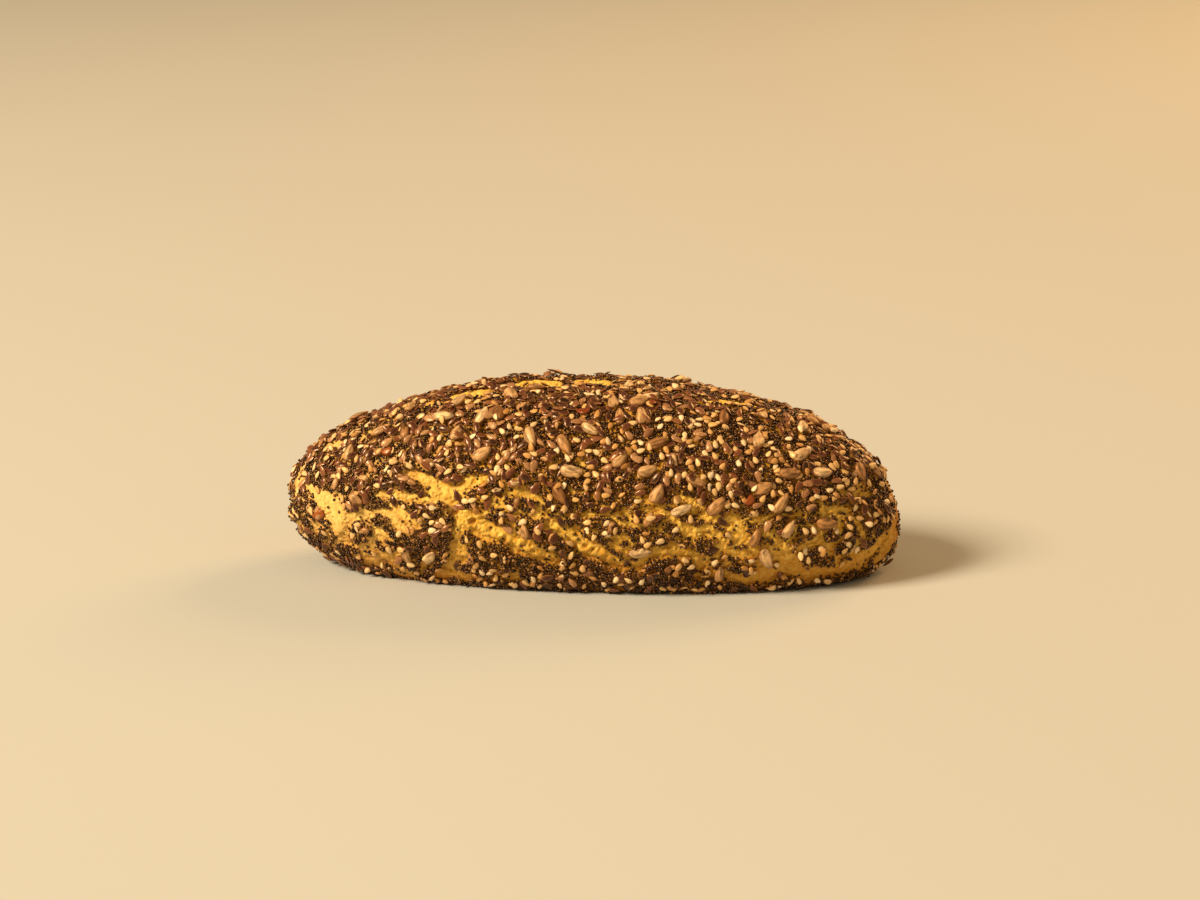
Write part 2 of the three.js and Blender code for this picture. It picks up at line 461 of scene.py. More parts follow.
ring_turns = np.linspace(0, math.pi, WALK_STEPS)
profile = crust_point(-np.cos(ring_turns), np.full(WALK_STEPS, WALK_AROUND))
run = np.concatenate([[0], np.cumsum(np.linalg.norm(np.diff(profile, axis=0), axis=1))])
circle = np.linspace(-0.5 * math.pi, 1.5 * math.pi, WALK_STEPS)
section = crust_point(np.zeros(WALK_STEPS), circle)
section_steps = np.linalg.norm(np.diff(section, axis=0), axis=1)
section_steps[section[1:, 2] <= 0] *= BASE_WEIGHT
girth = np.concatenate([[0], np.cumsum(section_steps)])


def along_at(share):
    """The distance along (-1 to 1) after a share of the walk from end to end."""
    return np.interp(share * run[-1], run, -np.cos(ring_turns))


def around_at(share):
    """The angle around after a share of the walk around."""
    return np.interp(share * girth[-1], girth, circle)


print("the walk from end to end is", round(run[-1]), "mm")

# %% [markdown]
# ## The crust as one mesh
#
# The sphere is made with its own operator, which also gives it a UV map for baking, and each vertex is then moved
# to its place on the form. Only the torn places need finer faces, so their edges are subdivided once more.
#
# Subdividing hands its new vertices back in an order that changes from run to run. Seeds are thrown by that order
# later, so the mesh is cut into triangles and sorted by place, and every run plants the same loaf.

# %% Build the loaf's skin
rings = int(run[-1] / RING_GAP_MM)
crust_bm = bmesh.new()
crust_bm.loops.layers.uv.new("OFBake")
bmesh.ops.create_uvsphere(crust_bm, u_segments=SPOKES, v_segments=rings, radius=1.0, calc_uvs=True)
ball = np.array([v.co for v in crust_bm.verts])
ring_share = np.arccos(np.clip(-ball[:, 2], -1, 1)) / math.pi
spoke_share = (np.arctan2(ball[:, 1], ball[:, 0]) / (2 * math.pi)) % 1
smooth_form = crust_point(along_at(ring_share), around_at(spoke_share))
for vertex, place in zip(crust_bm.verts, smooth_form):
    vertex.co = place
print("crust starts with", len(crust_bm.verts), "vertices")

# %% Refine the torn places
# Edges are cut a little way outside the tears too, so that the torn border itself is finely drawn.
REFINE_ABOVE = -0.15

inside, _ = tear_field(smooth_form)
crust_bm.verts.index_update()
torn_edges = [e for e in crust_bm.edges if max(inside[v.index] for v in e.verts) > REFINE_ABOVE]
bmesh.ops.subdivide_edges(crust_bm, edges=torn_edges, cuts=1, use_grid_fill=True)
bmesh.ops.triangulate(crust_bm, faces=crust_bm.faces, quad_method="SHORT_EDGE", ngon_method="BEAUTY")
bmesh.ops.recalc_face_normals(crust_bm, faces=crust_bm.faces)
print(len(torn_edges), "edges cut in two")


# %% Sort the crust by place
def sort_in_order(elements, keys):
    """Sorts a bmesh's vertices or faces by their keys, each a row of numbers, the first of them first."""
    rank = np.empty(len(keys))
    rank[np.lexsort(np.array(keys).T[::-1])] = np.arange(len(keys))
    rank = rank.tolist()
    elements.index_update()
    elements.sort(key=lambda element: rank[element.index])
    elements.index_update()


sort_in_order(crust_bm.verts, [v.co for v in crust_bm.verts])
sort_in_order(crust_bm.faces, [sorted(v.index for v in f.verts) for f in crust_bm.faces])
crust_bm.normal_update()
# Rounding takes off the last digits, which can differ from run to run too.
form = np.array([v.co for v in crust_bm.verts]).round(4)
outward = np.array([v.normal for v in crust_bm.verts]).round(4)
print("crust now has", len(form), "vertices")

# %% [markdown]
# ## Pores in the crumb
#
# Where the crumb tore open, the gas bubbles in it burst and left small round pores, with a few large ones deep in
# the widest tears. The small ones come from a cell pattern again, this time from the distance to the nearest cell
# centre, and about half of the cells hold none. The large ones are listed one by one.

# %% Shape the pores
PORE_GRAIN_MM = 2.7
CLOSED_SHARE = 0.45
# Each as (mm along, degrees around, radius in mm, depth in mm).
BIG_PORES = [(-43, 8, 1.7, 2.2), (-50, 12.5, 1.9, 1.8), (-36, 5, 1.1, 1.1), (-31, 1, 1.2, 1.0),
             (-24, -3, 1.0, 0.9), (-20, -7, 1.0, 0.9), (0, 0, 1.2, 1.1), (3, -3, 1.0, 1.0), (8, -9, 1.1, 0.9)]


def cell_number(centre):
    """A number from 0 to 1 that looks random but always belongs to the same cell centre."""
    return (math.sin(centre[0] * 12.9 + centre[1] * 78.2 + centre[2] * 37.7) * 43758.5) % 1


def small_pores(points):
    """Depth of the small open pores, from 0 to 1: some cells of a cell pattern hold one, others don't."""
    depth = np.zeros(len(points))
    for i, point in enumerate(points.tolist()):
        distances, cells = noise.voronoi(Vector(point) / PORE_GRAIN_MM)
        openness = cell_number(cells[0])
        if openness > CLOSED_SHARE:
            depth[i] = max(0.0, 1 - distances[0] / (0.16 + 0.2 * openness))
    return depth


def large_pores(points, spots):
    """Depth in millimetres of the large pores placed by hand."""
    depth = np.zeros(len(points))
    for x, around, radius, deep in spots:
        middle = crust_spots([(x, around)])[0]
        distance = np.linalg.norm(points - middle, axis=1)
        depth += deep * np.clip(1 - (distance / radius) ** 2, 0, 1) ** 0.6
    return depth


inside, tear_depth = tear_field(form)
torn = smooth_step(-0.12, 0.22, inside)
pores = np.zeros(len(form))
open_rows = np.flatnonzero(torn > 0.2)
pores[open_rows] = small_pores(form[open_rows])
big_pores = large_pores(form, BIG_PORES)
print((pores > 0).sum(), "vertices lie in small pores and", (big_pores > 0).sum(), "in large ones")

# %% [markdown]
# ## Relief: skin, tears and crumb
#
# The seeded skin stands a little proud and is gently lumpy. A tear drops away at its ragged edge, and the crumb
# inside swells back out, rough with small lumps. Behind the crest the skin rose in one long lip. All of this is
# real geometry, moved along the smooth form's normals, so it throws shadows and shows on the outline. A bump in
# the material alone would leave the outline smooth.

# %% Work out the relief
SKIN_RISE_MM = 0.35
# Each as (grain, height) in millimetres.
LUMP_SIZES_MM = ((34, 0.8), (13, 0.5), (5, 0.25))
CRUMB_SIZES_MM = ((6.5, 0.6), (3.0, 0.55), (1.6, 0.38))
PORE_DEPTH_MM = 1.1
GROOVE_DEPTH_MM = 0.5
# The share of a tear's depth that the crumb fills again in its middle.
SWELL_SHARE = 0.85
BACK_LIP = [(-52, 92), (-30, 97), (-14, 101), (4, 104), (22, 103), (32, 99)]
LIP_RISE_MM = 1.3
LIP_REACH_MM = 4.0

lumps = sum(height * noise_at(form, grain, 5.0) for grain, height in LUMP_SIZES_MM)
crumb = sum(height * noise_at(form, grain, 9.0) for grain, height in CRUMB_SIZES_MM)
# The groove hugs the tear's edge, and the crumb's swelling fills the tear's middle again.
groove = np.exp(-((inside - 0.05) / 0.16) ** 2)
swell = smooth_step(0.15, 1.0, inside)
sink, rise = np.maximum(tear_depth, 0), np.maximum(-tear_depth, 0)
relief = lumps + SKIN_RISE_MM * (1 - torn)
relief += torn * (-sink + crumb * np.clip(sink, 0.35, 1) - PORE_DEPTH_MM * pores * (rise < 1))
relief += swell * sink * SWELL_SHARE - GROOVE_DEPTH_MM * groove * np.clip(sink, 0, 1)
relief += rise * smooth_step(-0.1, 0.7, inside)
relief -= big_pores
lip_line = crust_spots(BACK_LIP)
for start, end in zip(lip_line, lip_line[1:]):
    share = np.clip((form - start) @ (end - start) / ((end - start) @ (end - start)), 0, 1)
    distance = np.linalg.norm(form - start - share[:, None] * (end - start), axis=1)
    relief += LIP_RISE_MM * np.exp(-((distance / LIP_REACH_MM) ** 2))
print("lumps reach", lumps.max().round(2), "mm and crumb", crumb.max().round(2), "mm")

# %% Raise and sink the surface
# The base lay on the tray, so it stays flat, and the relief fades out over this height towards it.
FADE_HEIGHT_MM = 7.0

relief *= smooth_step(0.0, FADE_HEIGHT_MM, form[:, 2]) * 0.85 + 0.15
relief[form[:, 2] <= 0.01] = 0
raised = form + outward * relief[:, None]
raised[:, 2] = np.maximum(raised[:, 2], 0)
for vertex, place in zip(crust_bm.verts, raised):
    vertex.co = place * MM
print("relief runs from", relief.min().round(2), "to", relief.max().round(2), "mm")

# %% [markdown]
# ## The crust as a piece
#
# The bmesh becomes a mesh, and the mesh an object that rides on the loaf's body and takes the place of the plain CAD
# loaf. Two numbers are stored at each vertex for the material: how torn the skin is there, and how deep in a
# pore or groove it lies, where the material paints shade. The colours then follow the shape exactly, with no
# picture wrapped round it.

# %% Finish the crust piece
crust_mesh = bpy.data.meshes.new("loaf_crust")
crust_bm.normal_update()
crust_bm.to_mesh(crust_mesh)
crust_bm.free()
crust_mesh.shade_smooth()
# Where the material paints shade: in the pores, and along the groove at a torn edge.
pit_painted_shade_amount = np.clip(pores + big_pores + 0.6 * groove * torn, 0, 1)
for name, values in (("torn", torn), ("pit", pit_painted_shade_amount)):
    crust_mesh.attributes.new(name, "FLOAT", "POINT").data.foreach_set("value", values.astype(np.float32))
crust = bpy.data.objects.new("loaf_crust", crust_mesh)
bpy.context.scene.collection.objects.link(crust)
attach(crust, "root")
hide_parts("loaf")
crust_mesh.calc_loop_triangles()
print("loaf_crust has", len(crust_mesh.loop_triangles), "triangles")

# %% [markdown]
# ## Turmeric crust and crumb
#
# Baked skin between the seeds is a deep golden yellow, oiled by the seeds. Torn crumb is a clear, saturated yellow.
# Shade is painted into its pores and along the groove at a torn edge, and the dough is painted paler towards the
# tapered end, which faces the key light. The material mixes these colours by the torn and pit shade numbers stored
# on the mesh, by place along the loaf, and by noise a few millimetres to a few centimetres wide.

# %% The colours of the dough
BLOTCH_MM = 14
GRAIN_MM = 1.6
SKIN_SHADES = [(0.35, "#B07A14"), (0.68, "#D69A26")]
CRUMB_SHADES = [(0.3, "#D6981C"), (0.72, "#F6CF66")]
# Painted light: the dough is painted paler towards the tapered end, which faces the key light.
TAPERED_END_PAINTED_LIGHT = "#F4CC84"
# Painted shade for the pores and for the groove at a torn edge.
PIT_PAINTED_SHADE = "#A86A0C"


def dough_colours(material, place, split, torn_mask, blotches):
    """Skin, crumb, painted light on the tapered end, and painted shade in the pores. Gives the node that mixes them
    all.
    """
    pit_shade_mask = add_node(material, "ShaderNodeAttribute", attribute_name="pit")
    grains = add_node(material, "ShaderNodeTexNoise",
                      {"Vector": (place, "Object"), "Scale": 1 / (GRAIN_MM * MM), "Detail": 3.0})
    skin = add_node(material, "ShaderNodeValToRGB", {"Fac": (blotches, "Fac")})
    set_shades(skin.color_ramp, SKIN_SHADES)
    crumb_colour = add_node(material, "ShaderNodeValToRGB", {"Fac": (grains, "Fac")})
    set_shades(crumb_colour.color_ramp, CRUMB_SHADES)
    fresh = add_node(material, "ShaderNodeMix", {"Factor": (torn_mask, "Fac")}, data_type="RGBA")
    link(material, skin, "Color", fresh, "A")
    link(material, crumb_colour, "Color", fresh, "B")
    # The painted light starts 40 mm from the middle towards the tapered end, and is full at 100 mm.
    tapered_end_light = add_node(material, "ShaderNodeMapRange",
                   {"Value": (split, "X"), "From Min": -0.04, "From Max": -0.1, "To Max": 0.45})
    dough = add_node(material, "ShaderNodeMix",
                     {"A": (fresh, "Result"), "B": hex_colour(TAPERED_END_PAINTED_LIGHT)}, data_type="RGBA")
    link(material, tapered_end_light, "Result", dough, "Factor")
    # Painted shade darkens the pores and the groove.
    pit_shade_share = add_node(material, "ShaderNodeMath", {0: (pit_shade_mask, "Fac"), 1: 0.62}, operation="MULTIPLY")
    pit_shaded = add_node(material, "ShaderNodeMix", {"B": hex_colour(PIT_PAINTED_SHADE)}, data_type="RGBA")
    link(material, pit_shade_share, "Value", pit_shaded, "Factor")
    link(material, dough, "Result", pit_shaded, "A")
    return pit_shaded


# %% [markdown]
# ## Browning
#
# Heat came through the tray, so the loaf is browned most at its foot, and it caught the blunt end too. The brown is
# a second layer of colour over the dough: its strength falls with height, it is broken up by the same blotches, and
# a last thin line of dark brown marks the edge that touched the tray.

# %% The browning
AMBER_BROWN = "#B5700F"
TRAY_BROWN = "#8A4F12"


def browned(material, split, blotches, colour):
    """Lays the browning over a colour node. Gives the node that carries the result."""
    # Full 2 mm above the tray and gone at 24 mm, and full at the blunt end's tip and gone 22 mm before it.
    low = add_node(material, "ShaderNodeMapRange",
                   {"Value": (split, "Z"), "From Min": 0.024, "From Max": 0.002})
    right = add_node(material, "ShaderNodeMapRange",
                     {"Value": (split, "X"), "From Min": 0.098, "From Max": 0.12})
    heat = add_node(material, "ShaderNodeMath", {0: (low, "Result"), 1: (right, "Result")}, operation="MAXIMUM")
    patchy = add_node(material, "ShaderNodeMapRange",
                      {"Value": (blotches, "Fac"), "From Min": 0.3, "From Max": 0.7, "To Min": 0.35})
    browning = add_node(material, "ShaderNodeMath",
                        {0: (heat, "Value"), 1: (patchy, "Result")}, operation="MULTIPLY")
    baked = add_node(material, "ShaderNodeMix", {"B": hex_colour(AMBER_BROWN)}, data_type="RGBA")
    link(material, browning, "Value", baked, "Factor")
    link(material, colour, "Result", baked, "A")
    base = add_node(material, "ShaderNodeMapRange",
                    {"Value": (split, "Z"), "From Min": 0.0015, "From Max": 0.0002})
    tray_brown = add_node(material, "ShaderNodeMix", {"B": hex_colour(TRAY_BROWN)}, data_type="RGBA")
    link(material, base, "Result", tray_brown, "Factor")
    link(material, baked, "Result", tray_brown, "A")
    return tray_brown


# %% [markdown]
# ## The crust's surface
#
# Dough is matt, and the eye reads that from how broad and dull its highlights are. The skin is a little smoother
# than the crumb, because it is oiled. A bump of half a millimetre, made of fine grain and small holes, stands for
# the floury, porous surface that is too fine to model.

# %% The crust's material
FINE_GRAIN_MM = 1.3
FINE_HOLE_MM = 1.9
SKIN_ROUGHNESS = 0.55
CRUMB_ROUGHNESS = 0.78


def crust_material():
    """Baked turmeric dough: matt and a little floury, warm yellow, browned near the tray."""
    material, shader = new_material("baked_turmeric_crust")
    place = add_node(material, "ShaderNodeTexCoord")
    split = add_node(material, "ShaderNodeSeparateXYZ", {"Vector": (place, "Object")})
    torn_mask = add_node(material, "ShaderNodeAttribute", attribute_name="torn")
    blotches = add_node(material, "ShaderNodeTexNoise",
                        {"Vector": (place, "Object"), "Scale": 1 / (BLOTCH_MM * MM), "Detail": 4.0})
    dough = dough_colours(material, place, split, torn_mask, blotches)
    link(material, browned(material, split, blotches, dough), "Result", shader, "Base Color")
    rough = add_node(material, "ShaderNodeMapRange",
                     {"Value": (torn_mask, "Fac"), "To Min": SKIN_ROUGHNESS, "To Max": CRUMB_ROUGHNESS})
    link(material, rough, "Result", shader, "Roughness")
    fine = add_node(material, "ShaderNodeTexNoise",
                    {"Vector": (place, "Object"), "Scale": 1 / (FINE_GRAIN_MM * MM), "Detail": 6.0,
                     "Roughness": 0.65})
    holes = add_node(material, "ShaderNodeTexVoronoi",
                     {"Vector": (place, "Object"), "Scale": 1 / (FINE_HOLE_MM * MM)})
    hollow = add_node(material, "ShaderNodeMapRange",
                      {"Value": (holes, "Distance"), "From Min": 0.1, "From Max": 0.5})
    height = add_node(material, "ShaderNodeMath", {0: (fine, "Fac"), 1: (hollow, "Result")}, operation="ADD")
    bump = add_node(material, "ShaderNodeBump",
                    {"Height": (height, "Value"), "Strength": 0.9, "Distance": 0.55 * MM})
    link(material, bump, "Normal", shader, "Normal")
    # Flour and crumb scatter light, so the clear highlight is weaker than on a smooth plastic.
    shader.inputs["Specular IOR Level"].default_value = 0.35
    return material


crust_mesh.materials.append(crust_material())
print("crust material has", len(crust_mesh.materials[0].node_tree.nodes), "nodes")

# %% [markdown]
# ## One seed of each kind
#
# Each seed is drawn once, with a few dozen faces, because it will be planted hundreds or thousands of times. A
# small UV sphere with its poles along X is squeezed into a flat teardrop. How much it tapers and how flat it is
# tell flax, sesame and sunflower apart. Each vertex remembers where it sits on its seed, so a material can darken
# a rim or a tip.

# %% A seed's shape
def finish_seed(name, bm, places):
    """Turns the bmesh into a hidden template that the planting step copies."""
    mesh = bpy.data.meshes.new(name)
    bm.to_mesh(mesh)
    bm.free()
    mesh.shade_smooth()
    store = mesh.attributes.new("seed_place", "FLOAT_VECTOR", "POINT")
    store.data.foreach_set("vector", np.array(places, np.float32).ravel())
    return mesh


def seed_mesh(name, spokes, rings, length, width, thickness, taper, edge, bend=0.0, ridge=0.0, sharp_rim=False):
    """A flat teardrop in millimetres: taper narrows its +X half, and an edge over 1 makes it a lens."""
    bm = bmesh.new()
    bm.loops.layers.uv.new("OFBake")
    bmesh.ops.create_uvsphere(bm, u_segments=spokes, v_segments=rings, radius=1.0, calc_uvs=True)
    bmesh.ops.rotate(bm, verts=bm.verts, matrix=Matrix.Rotation(math.radians(90), 3, "Y"))
    places = []
    for vertex in bm.verts:
        x, y, z = vertex.co
        narrow = 1 - taper * x
        spoke = round(math.atan2(z, y) / (2 * math.pi) * spokes)
        swell = 1 + ridge * (1 if spoke % 2 else -1) * (1 - x * x)
        flat = math.copysign(abs(z) ** edge, z)
        places.append((x, y, z))
        sideways = (y * narrow * swell * width / 2) + bend * x * x
        vertex.co = (x * length / 2, sideways, flat * narrow * swell * thickness / 2)
    bmesh.ops.scale(bm, verts=bm.verts, vec=(MM, MM, MM))
    bmesh.ops.recalc_face_normals(bm, faces=bm.faces)
    if sharp_rim:
        # The two faces of a flax seed meet in a crisp rim, which catches the light as a fine line.
        rim = {vertex for vertex, (_, _, z) in zip(bm.verts, places) if abs(z) < 0.01}
        for rim_edge in bm.edges:
            rim_edge.smooth = not set(rim_edge.verts) <= rim
    return finish_seed(name, bm, places)


# %% [markdown]
# ## The seeds and their sizes
#
# Flax is a flat, glossy teardrop with a crisp rim, drawn in a broad and a slim form. Sesame is smaller and rounder,
# a sunflower kernel is twice as long and plump, with ridges along it, and a flake is a curled bit of broken hull.
# A poppy seed is a tiny kidney just over a millimetre long, and at that size a 20-sided ball is enough.

# %% Model the seeds
POPPY_BALL_MM = 0.58
# A little longer than it is wide, and wider than it is thick.
POPPY_STRETCH = (1.12, 0.95, 0.85)


def poppy_mesh():
    """A poppy seed: a 20-sided ball with three different sides."""
    bm = bmesh.new()
    bm.loops.layers.uv.new("OFBake")
    bmesh.ops.create_icosphere(bm, subdivisions=1, radius=POPPY_BALL_MM * MM, calc_uvs=True)
    places = [tuple(v.co / (POPPY_BALL_MM * MM)) for v in bm.verts]
    bmesh.ops.scale(bm, verts=bm.verts, vec=POPPY_STRETCH)
    return finish_seed("poppy", bm, places)


flax_plain = seed_mesh("flax_plain", 8, 6, 4.9, 2.7, 1.05, 0.34, 1.5, bend=0.1, sharp_rim=True)
flax_slim = seed_mesh("flax_slim", 8, 6, 4.6, 2.3, 0.95, 0.42, 1.4, bend=-0.15, sharp_rim=True)
sesame_seed = seed_mesh("sesame", 8, 6, 3.6, 2.25, 0.75, 0.38, 0.9)
kernel_seed = seed_mesh("kernel", 10, 6, 9.2, 4.7, 2.6, 0.28, 1.1, bend=0.3, ridge=0.07)
poppy_seed = poppy_mesh()
flake_chip = seed_mesh("flake", 6, 4, 5.8, 4.4, 0.6, -0.15, 0.6, bend=0.9, ridge=0.2)
for mesh in (flax_plain, flax_slim, sesame_seed, kernel_seed, poppy_seed, flake_chip):
    mesh.calc_loop_triangles()
    print(mesh.name, len(mesh.loop_triangles), "triangles")

# %% [markdown]
# ## How a seed's hull is coloured
#
# No two seeds have quite the same shade. Every seed carries a random tint number of its own, and a colour ramp
# turns it into one of the shades of its kind. A hull has another colour along its rim and at its tip: paler on
# flax, as a painted highlight along its crisp rim, and darker on the other seeds. Each vertex's place on its seed
# says where that is. Fine grain breaks up the colour and the gloss.

# %% Helpers for the hulls
def rim_amount(material, where, share):
    """How much of the rim's colour shows: most at the flat rim and the pointed tip."""
    split = add_node(material, "ShaderNodeSeparateXYZ", {"Vector": (where, "Vector")})
    height = add_node(material, "ShaderNodeMath", {0: (split, "Z")}, operation="ABSOLUTE")
    thin = add_node(material, "ShaderNodeMapRange",
                    {"Value": (height, "Value"), "From Min": 0.75, "From Max": 0.15})
    tip = add_node(material, "ShaderNodeMapRange", {"Value": (split, "X"), "From Min": 0.55, "From Max": 1.0})
    edge = add_node(material, "ShaderNodeMath", {0: (thin, "Result"), 1: (tip, "Result")}, operation="MAXIMUM")
    return add_node(material, "ShaderNodeMath", {0: (edge, "Value"), 1: share}, operation="MULTIPLY")


def hull_grain(material, where, tint, grain_mm, streaks):
    """Fine grain over the hull. With streaks, fibres that run from end to end of each seed."""
    place = add_node(material, "ShaderNodeTexCoord")
    grain = add_node(material, "ShaderNodeTexNoise",
                     {"Vector": (place, "Object"), "Scale": 1 / (grain_mm * MM), "Detail": 3.0})
    if streaks:
        # The pattern is drawn on the seed's own place, and squeezed across it. The tint shifts it on each seed.
        shift = add_node(material, "ShaderNodeVectorMath", {0: (tint, "Fac"), 1: (40, 40, 40)},
                         operation="MULTIPLY")
        along = add_node(material, "ShaderNodeMapping",
                         {"Vector": (where, "Vector"), "Location": (shift, "Vector"),
                          "Scale": (1.1, streaks, streaks)})
        link(material, along, "Vector", grain, "Vector")
        grain.inputs["Scale"].default_value = 1.0
    return grain


# %% The finish of a hull
# The hulls are brown and a little oily, so their sparks are warm and not white.
SPARK_TINT = "#FFD9A8"
COAT_TINT = "#FFE2B8"
COAT_ROUGHNESS = 0.2


def seed_material(name, shades, rim, rim_share, roughness, coat, speckle, grain_mm, bump_mm, streaks=0):
    """A seed hull: a shade picked by the seed's tint, a different rim, and fine grain over both."""
    material, shader = new_material(name)
    tint = add_node(material, "ShaderNodeAttribute", attribute_name="tint")
    where = add_node(material, "ShaderNodeAttribute", attribute_name="seed_place")
    shade = add_node(material, "ShaderNodeValToRGB", {"Fac": (tint, "Fac")})
    set_shades(shade.color_ramp, shades)
    rimmed = add_node(material, "ShaderNodeMix", {"B": hex_colour(rim)}, data_type="RGBA")
    link(material, rim_amount(material, where, rim_share), "Value", rimmed, "Factor")
    link(material, shade, "Color", rimmed, "A")
    grain = hull_grain(material, where, tint, grain_mm, streaks)
    mottle = add_node(material, "ShaderNodeMapRange",
                      {"Value": (grain, "Fac"), "From Min": 0.3, "From Max": 0.7,
                       "To Min": 1 - speckle, "To Max": 1 + speckle * 0.6})
    coloured = add_node(material, "ShaderNodeMix", {"Factor": 1.0}, data_type="RGBA", blend_type="MULTIPLY")
    link(material, rimmed, "Result", coloured, "A")
    link(material, mottle, "Result", coloured, "B")
    link(material, coloured, "Result", shader, "Base Color")
    rough = add_node(material, "ShaderNodeMapRange",
                     {"Value": (grain, "Fac"), "From Min": 0.3, "From Max": 0.7,
                      "To Min": roughness - 0.08, "To Max": roughness + 0.1})
    link(material, rough, "Result", shader, "Roughness")
    bump = add_node(material, "ShaderNodeBump",
                    {"Height": (grain, "Fac"), "Strength": 0.6, "Distance": bump_mm * MM})
    link(material, bump, "Normal", shader, "Normal")
    shader.inputs["Specular Tint"].default_value = hex_colour(SPARK_TINT)
    shader.inputs["Coat Tint"].default_value = hex_colour(COAT_TINT)
    shader.inputs["Coat Weight"].default_value = coat
    shader.inputs["Coat Roughness"].default_value = COAT_ROUGHNESS
    return material


# %% [markdown]
# ## The five hulls
#
# What tells the seeds apart from a step away is their gloss as much as their colour, so each hull gets its own
# roughness and its own share of clear coat, and the grain in it is as fine as the real one, half a millimetre to
# a millimetre wide.

# %% Materials of the seeds
# Flax hull is smooth and glassy. It gives the eye dark chestnut with a sharp spark, and its paler rim and tip are a
# painted highlight.
flax_hull = seed_material(
    "flax_hull", [(0.0, "#2C140B"), (0.4, "#52281A"), (0.75, "#7C472C"), (1.0, "#C09468")],
    rim="#A8744A", rim_share=0.55, roughness=0.3, coat=0.32, speckle=0.35, grain_mm=0.7, bump_mm=0.1)
# Sesame hull is papery and toasted. It gives the eye a satin cream, a shade darker at the edge and the tip.
sesame_hull = seed_material(
    "sesame_hull", [(0.0, "#BC8444"), (0.25, "#DCAB68"), (0.7, "#EFCA8E"), (1.0, "#F8E1B6")],
    rim="#A87038", rim_share=0.65, roughness=0.4, coat=0.12, speckle=0.15, grain_mm=0.5, bump_mm=0.05)
# A shelled kernel is roasted flesh. It gives the eye a soft, dusty tan with darker lines along it.
kernel_flesh = seed_material(
    "sunflower_kernel", [(0.0, "#86562E"), (0.3, "#B2804E"), (0.75, "#CFA16C"), (1.0, "#EECB98")],
    rim="#7C4E2A", rim_share=0.6, roughness=0.42, coat=0.12, speckle=0.72, grain_mm=0.8, bump_mm=0.4,
    streaks=2.0)
# Poppy hull is hard and waxy. It gives the eye near-black to grey-brown grains, each with a bright spark.
poppy_hull = seed_material(
    "poppy_hull", [(0.0, "#180A03"), (0.4, "#301A09"), (0.78, "#5E3A1A"), (1.0, "#B88C54")],
    rim="#200F04", rim_share=0.2, roughness=0.2, coat=0.5, speckle=0.3, grain_mm=0.35, bump_mm=0.05)
# A broken bit of hull is thin and horny. It gives the eye a warm, shiny amber among the browns.
flake_hull = seed_material(
    "amber_hull_flake", [(0.0, "#7A3614"), (0.6, "#9A4E1E"), (1.0, "#B86C2C")],
    rim="#6A2C10", rim_share=0.3, roughness=0.35, coat=0.3, speckle=0.3, grain_mm=0.8, bump_mm=0.1)
for mesh, hull in ((flax_plain, flax_hull), (flax_slim, flax_hull), (sesame_seed, sesame_hull),
                   (kernel_seed, kernel_flesh), (poppy_seed, poppy_hull), (flake_chip, flake_hull)):
    mesh.materials.append(hull)
    print(mesh.name, "wears", hull.name)

# %% [markdown]
# ## Choosing where the seeds go
#
# Seeds are thrown at the crust like darts. A dart is kept if the crust there is skin and not torn crumb, and if no
# dart kept before it lies too close. Each spot carries the direction in which the smooth form faces, mixed with
# a little of the rough surface's own, so seeds follow the lumps without standing on end.

# %% Throw darts at the crust
# No seeds are thrown at the base, which is all of the crust below this height.
BASE_TOP_MM = 0.6

corners = np.array([sorted(t.vertices) for t in crust_mesh.loop_triangles])
spots = np.array([v.co for v in crust_mesh.vertices]) / MM
slopes = 0.6 * outward + 0.4 * np.array([v.normal for v in crust_mesh.vertices]).round(4)
sides = spots[corners]
areas = np.linalg.norm(np.cross(sides[:, 1] - sides[:, 0], sides[:, 2] - sides[:, 0]), axis=1) / 2
areas[sides[:, :, 2].max(axis=1) < BASE_TOP_MM] = 0
area_run = np.cumsum(areas) / areas.sum()
print("crust above the tray:", round(areas.sum() / 100), "square centimetres")


def throw_darts(rng, count):
    """Random spots spread evenly over the crust, with the slope and the tear value at each."""
    picked = np.searchsorted(area_run, rng.random(count))
    share = np.sort(rng.random((count, 2)), axis=1)
    weights = np.stack([share[:, 0], share[:, 1] - share[:, 0], 1 - share[:, 1]], axis=1)
    hit = corners[picked]
    place = (spots[hit] * weights[:, :, None]).sum(axis=1)
    slope = (slopes[hit] * weights[:, :, None]).sum(axis=1)
    slope /= np.linalg.norm(slope, axis=1)[:, None]
    tear = (inside[hit] * weights).sum(axis=1)
    return place, slope, tear


# %% [markdown]
# ## Keeping seeds apart
#
# Comparing each dart with every other would take minutes. Instead, space is cut into small boxes as wide as the
# smallest gap allowed, and a dart is only compared with those in its own box and the boxes round it. Seeds also
# stick in patches, more here and fewer there, because the dough was damper in some places when it was rolled.

# %% Thin the darts out
def thin_out(places, gap):
    """Keeps darts in order, each at least a gap from all those kept before. Returns their rows."""
    cells = {}
    kept = []
    keys = np.floor(places / gap).astype(int).tolist()
    steps = [(i, j, k) for i in (-1, 0, 1) for j in (-1, 0, 1) for k in (-1, 0, 1)]
    for row, ((x, y, z), (i, j, k)) in enumerate(zip(places.tolist(), keys)):
        near = (seed for a, b, c in steps for seed in cells.get((i + a, j + b, k + c), ()))
        if all((u - x) ** 2 + (v - y) ** 2 + (w - z) ** 2 >= gap * gap for u, v, w in near):
            cells.setdefault((i, j, k), []).append((x, y, z))
            kept.append(row)
    return np.array(kept)


def seed_patches(places, grain, shift):
    """Patches of more and of fewer seeds, from 0 to 1."""
    return np.clip(0.5 + 0.9 * noise_at(places, grain, shift), 0, 1)


print(len(thin_out(spots, 5)), "points of the crust lie 5 mm apart or more")

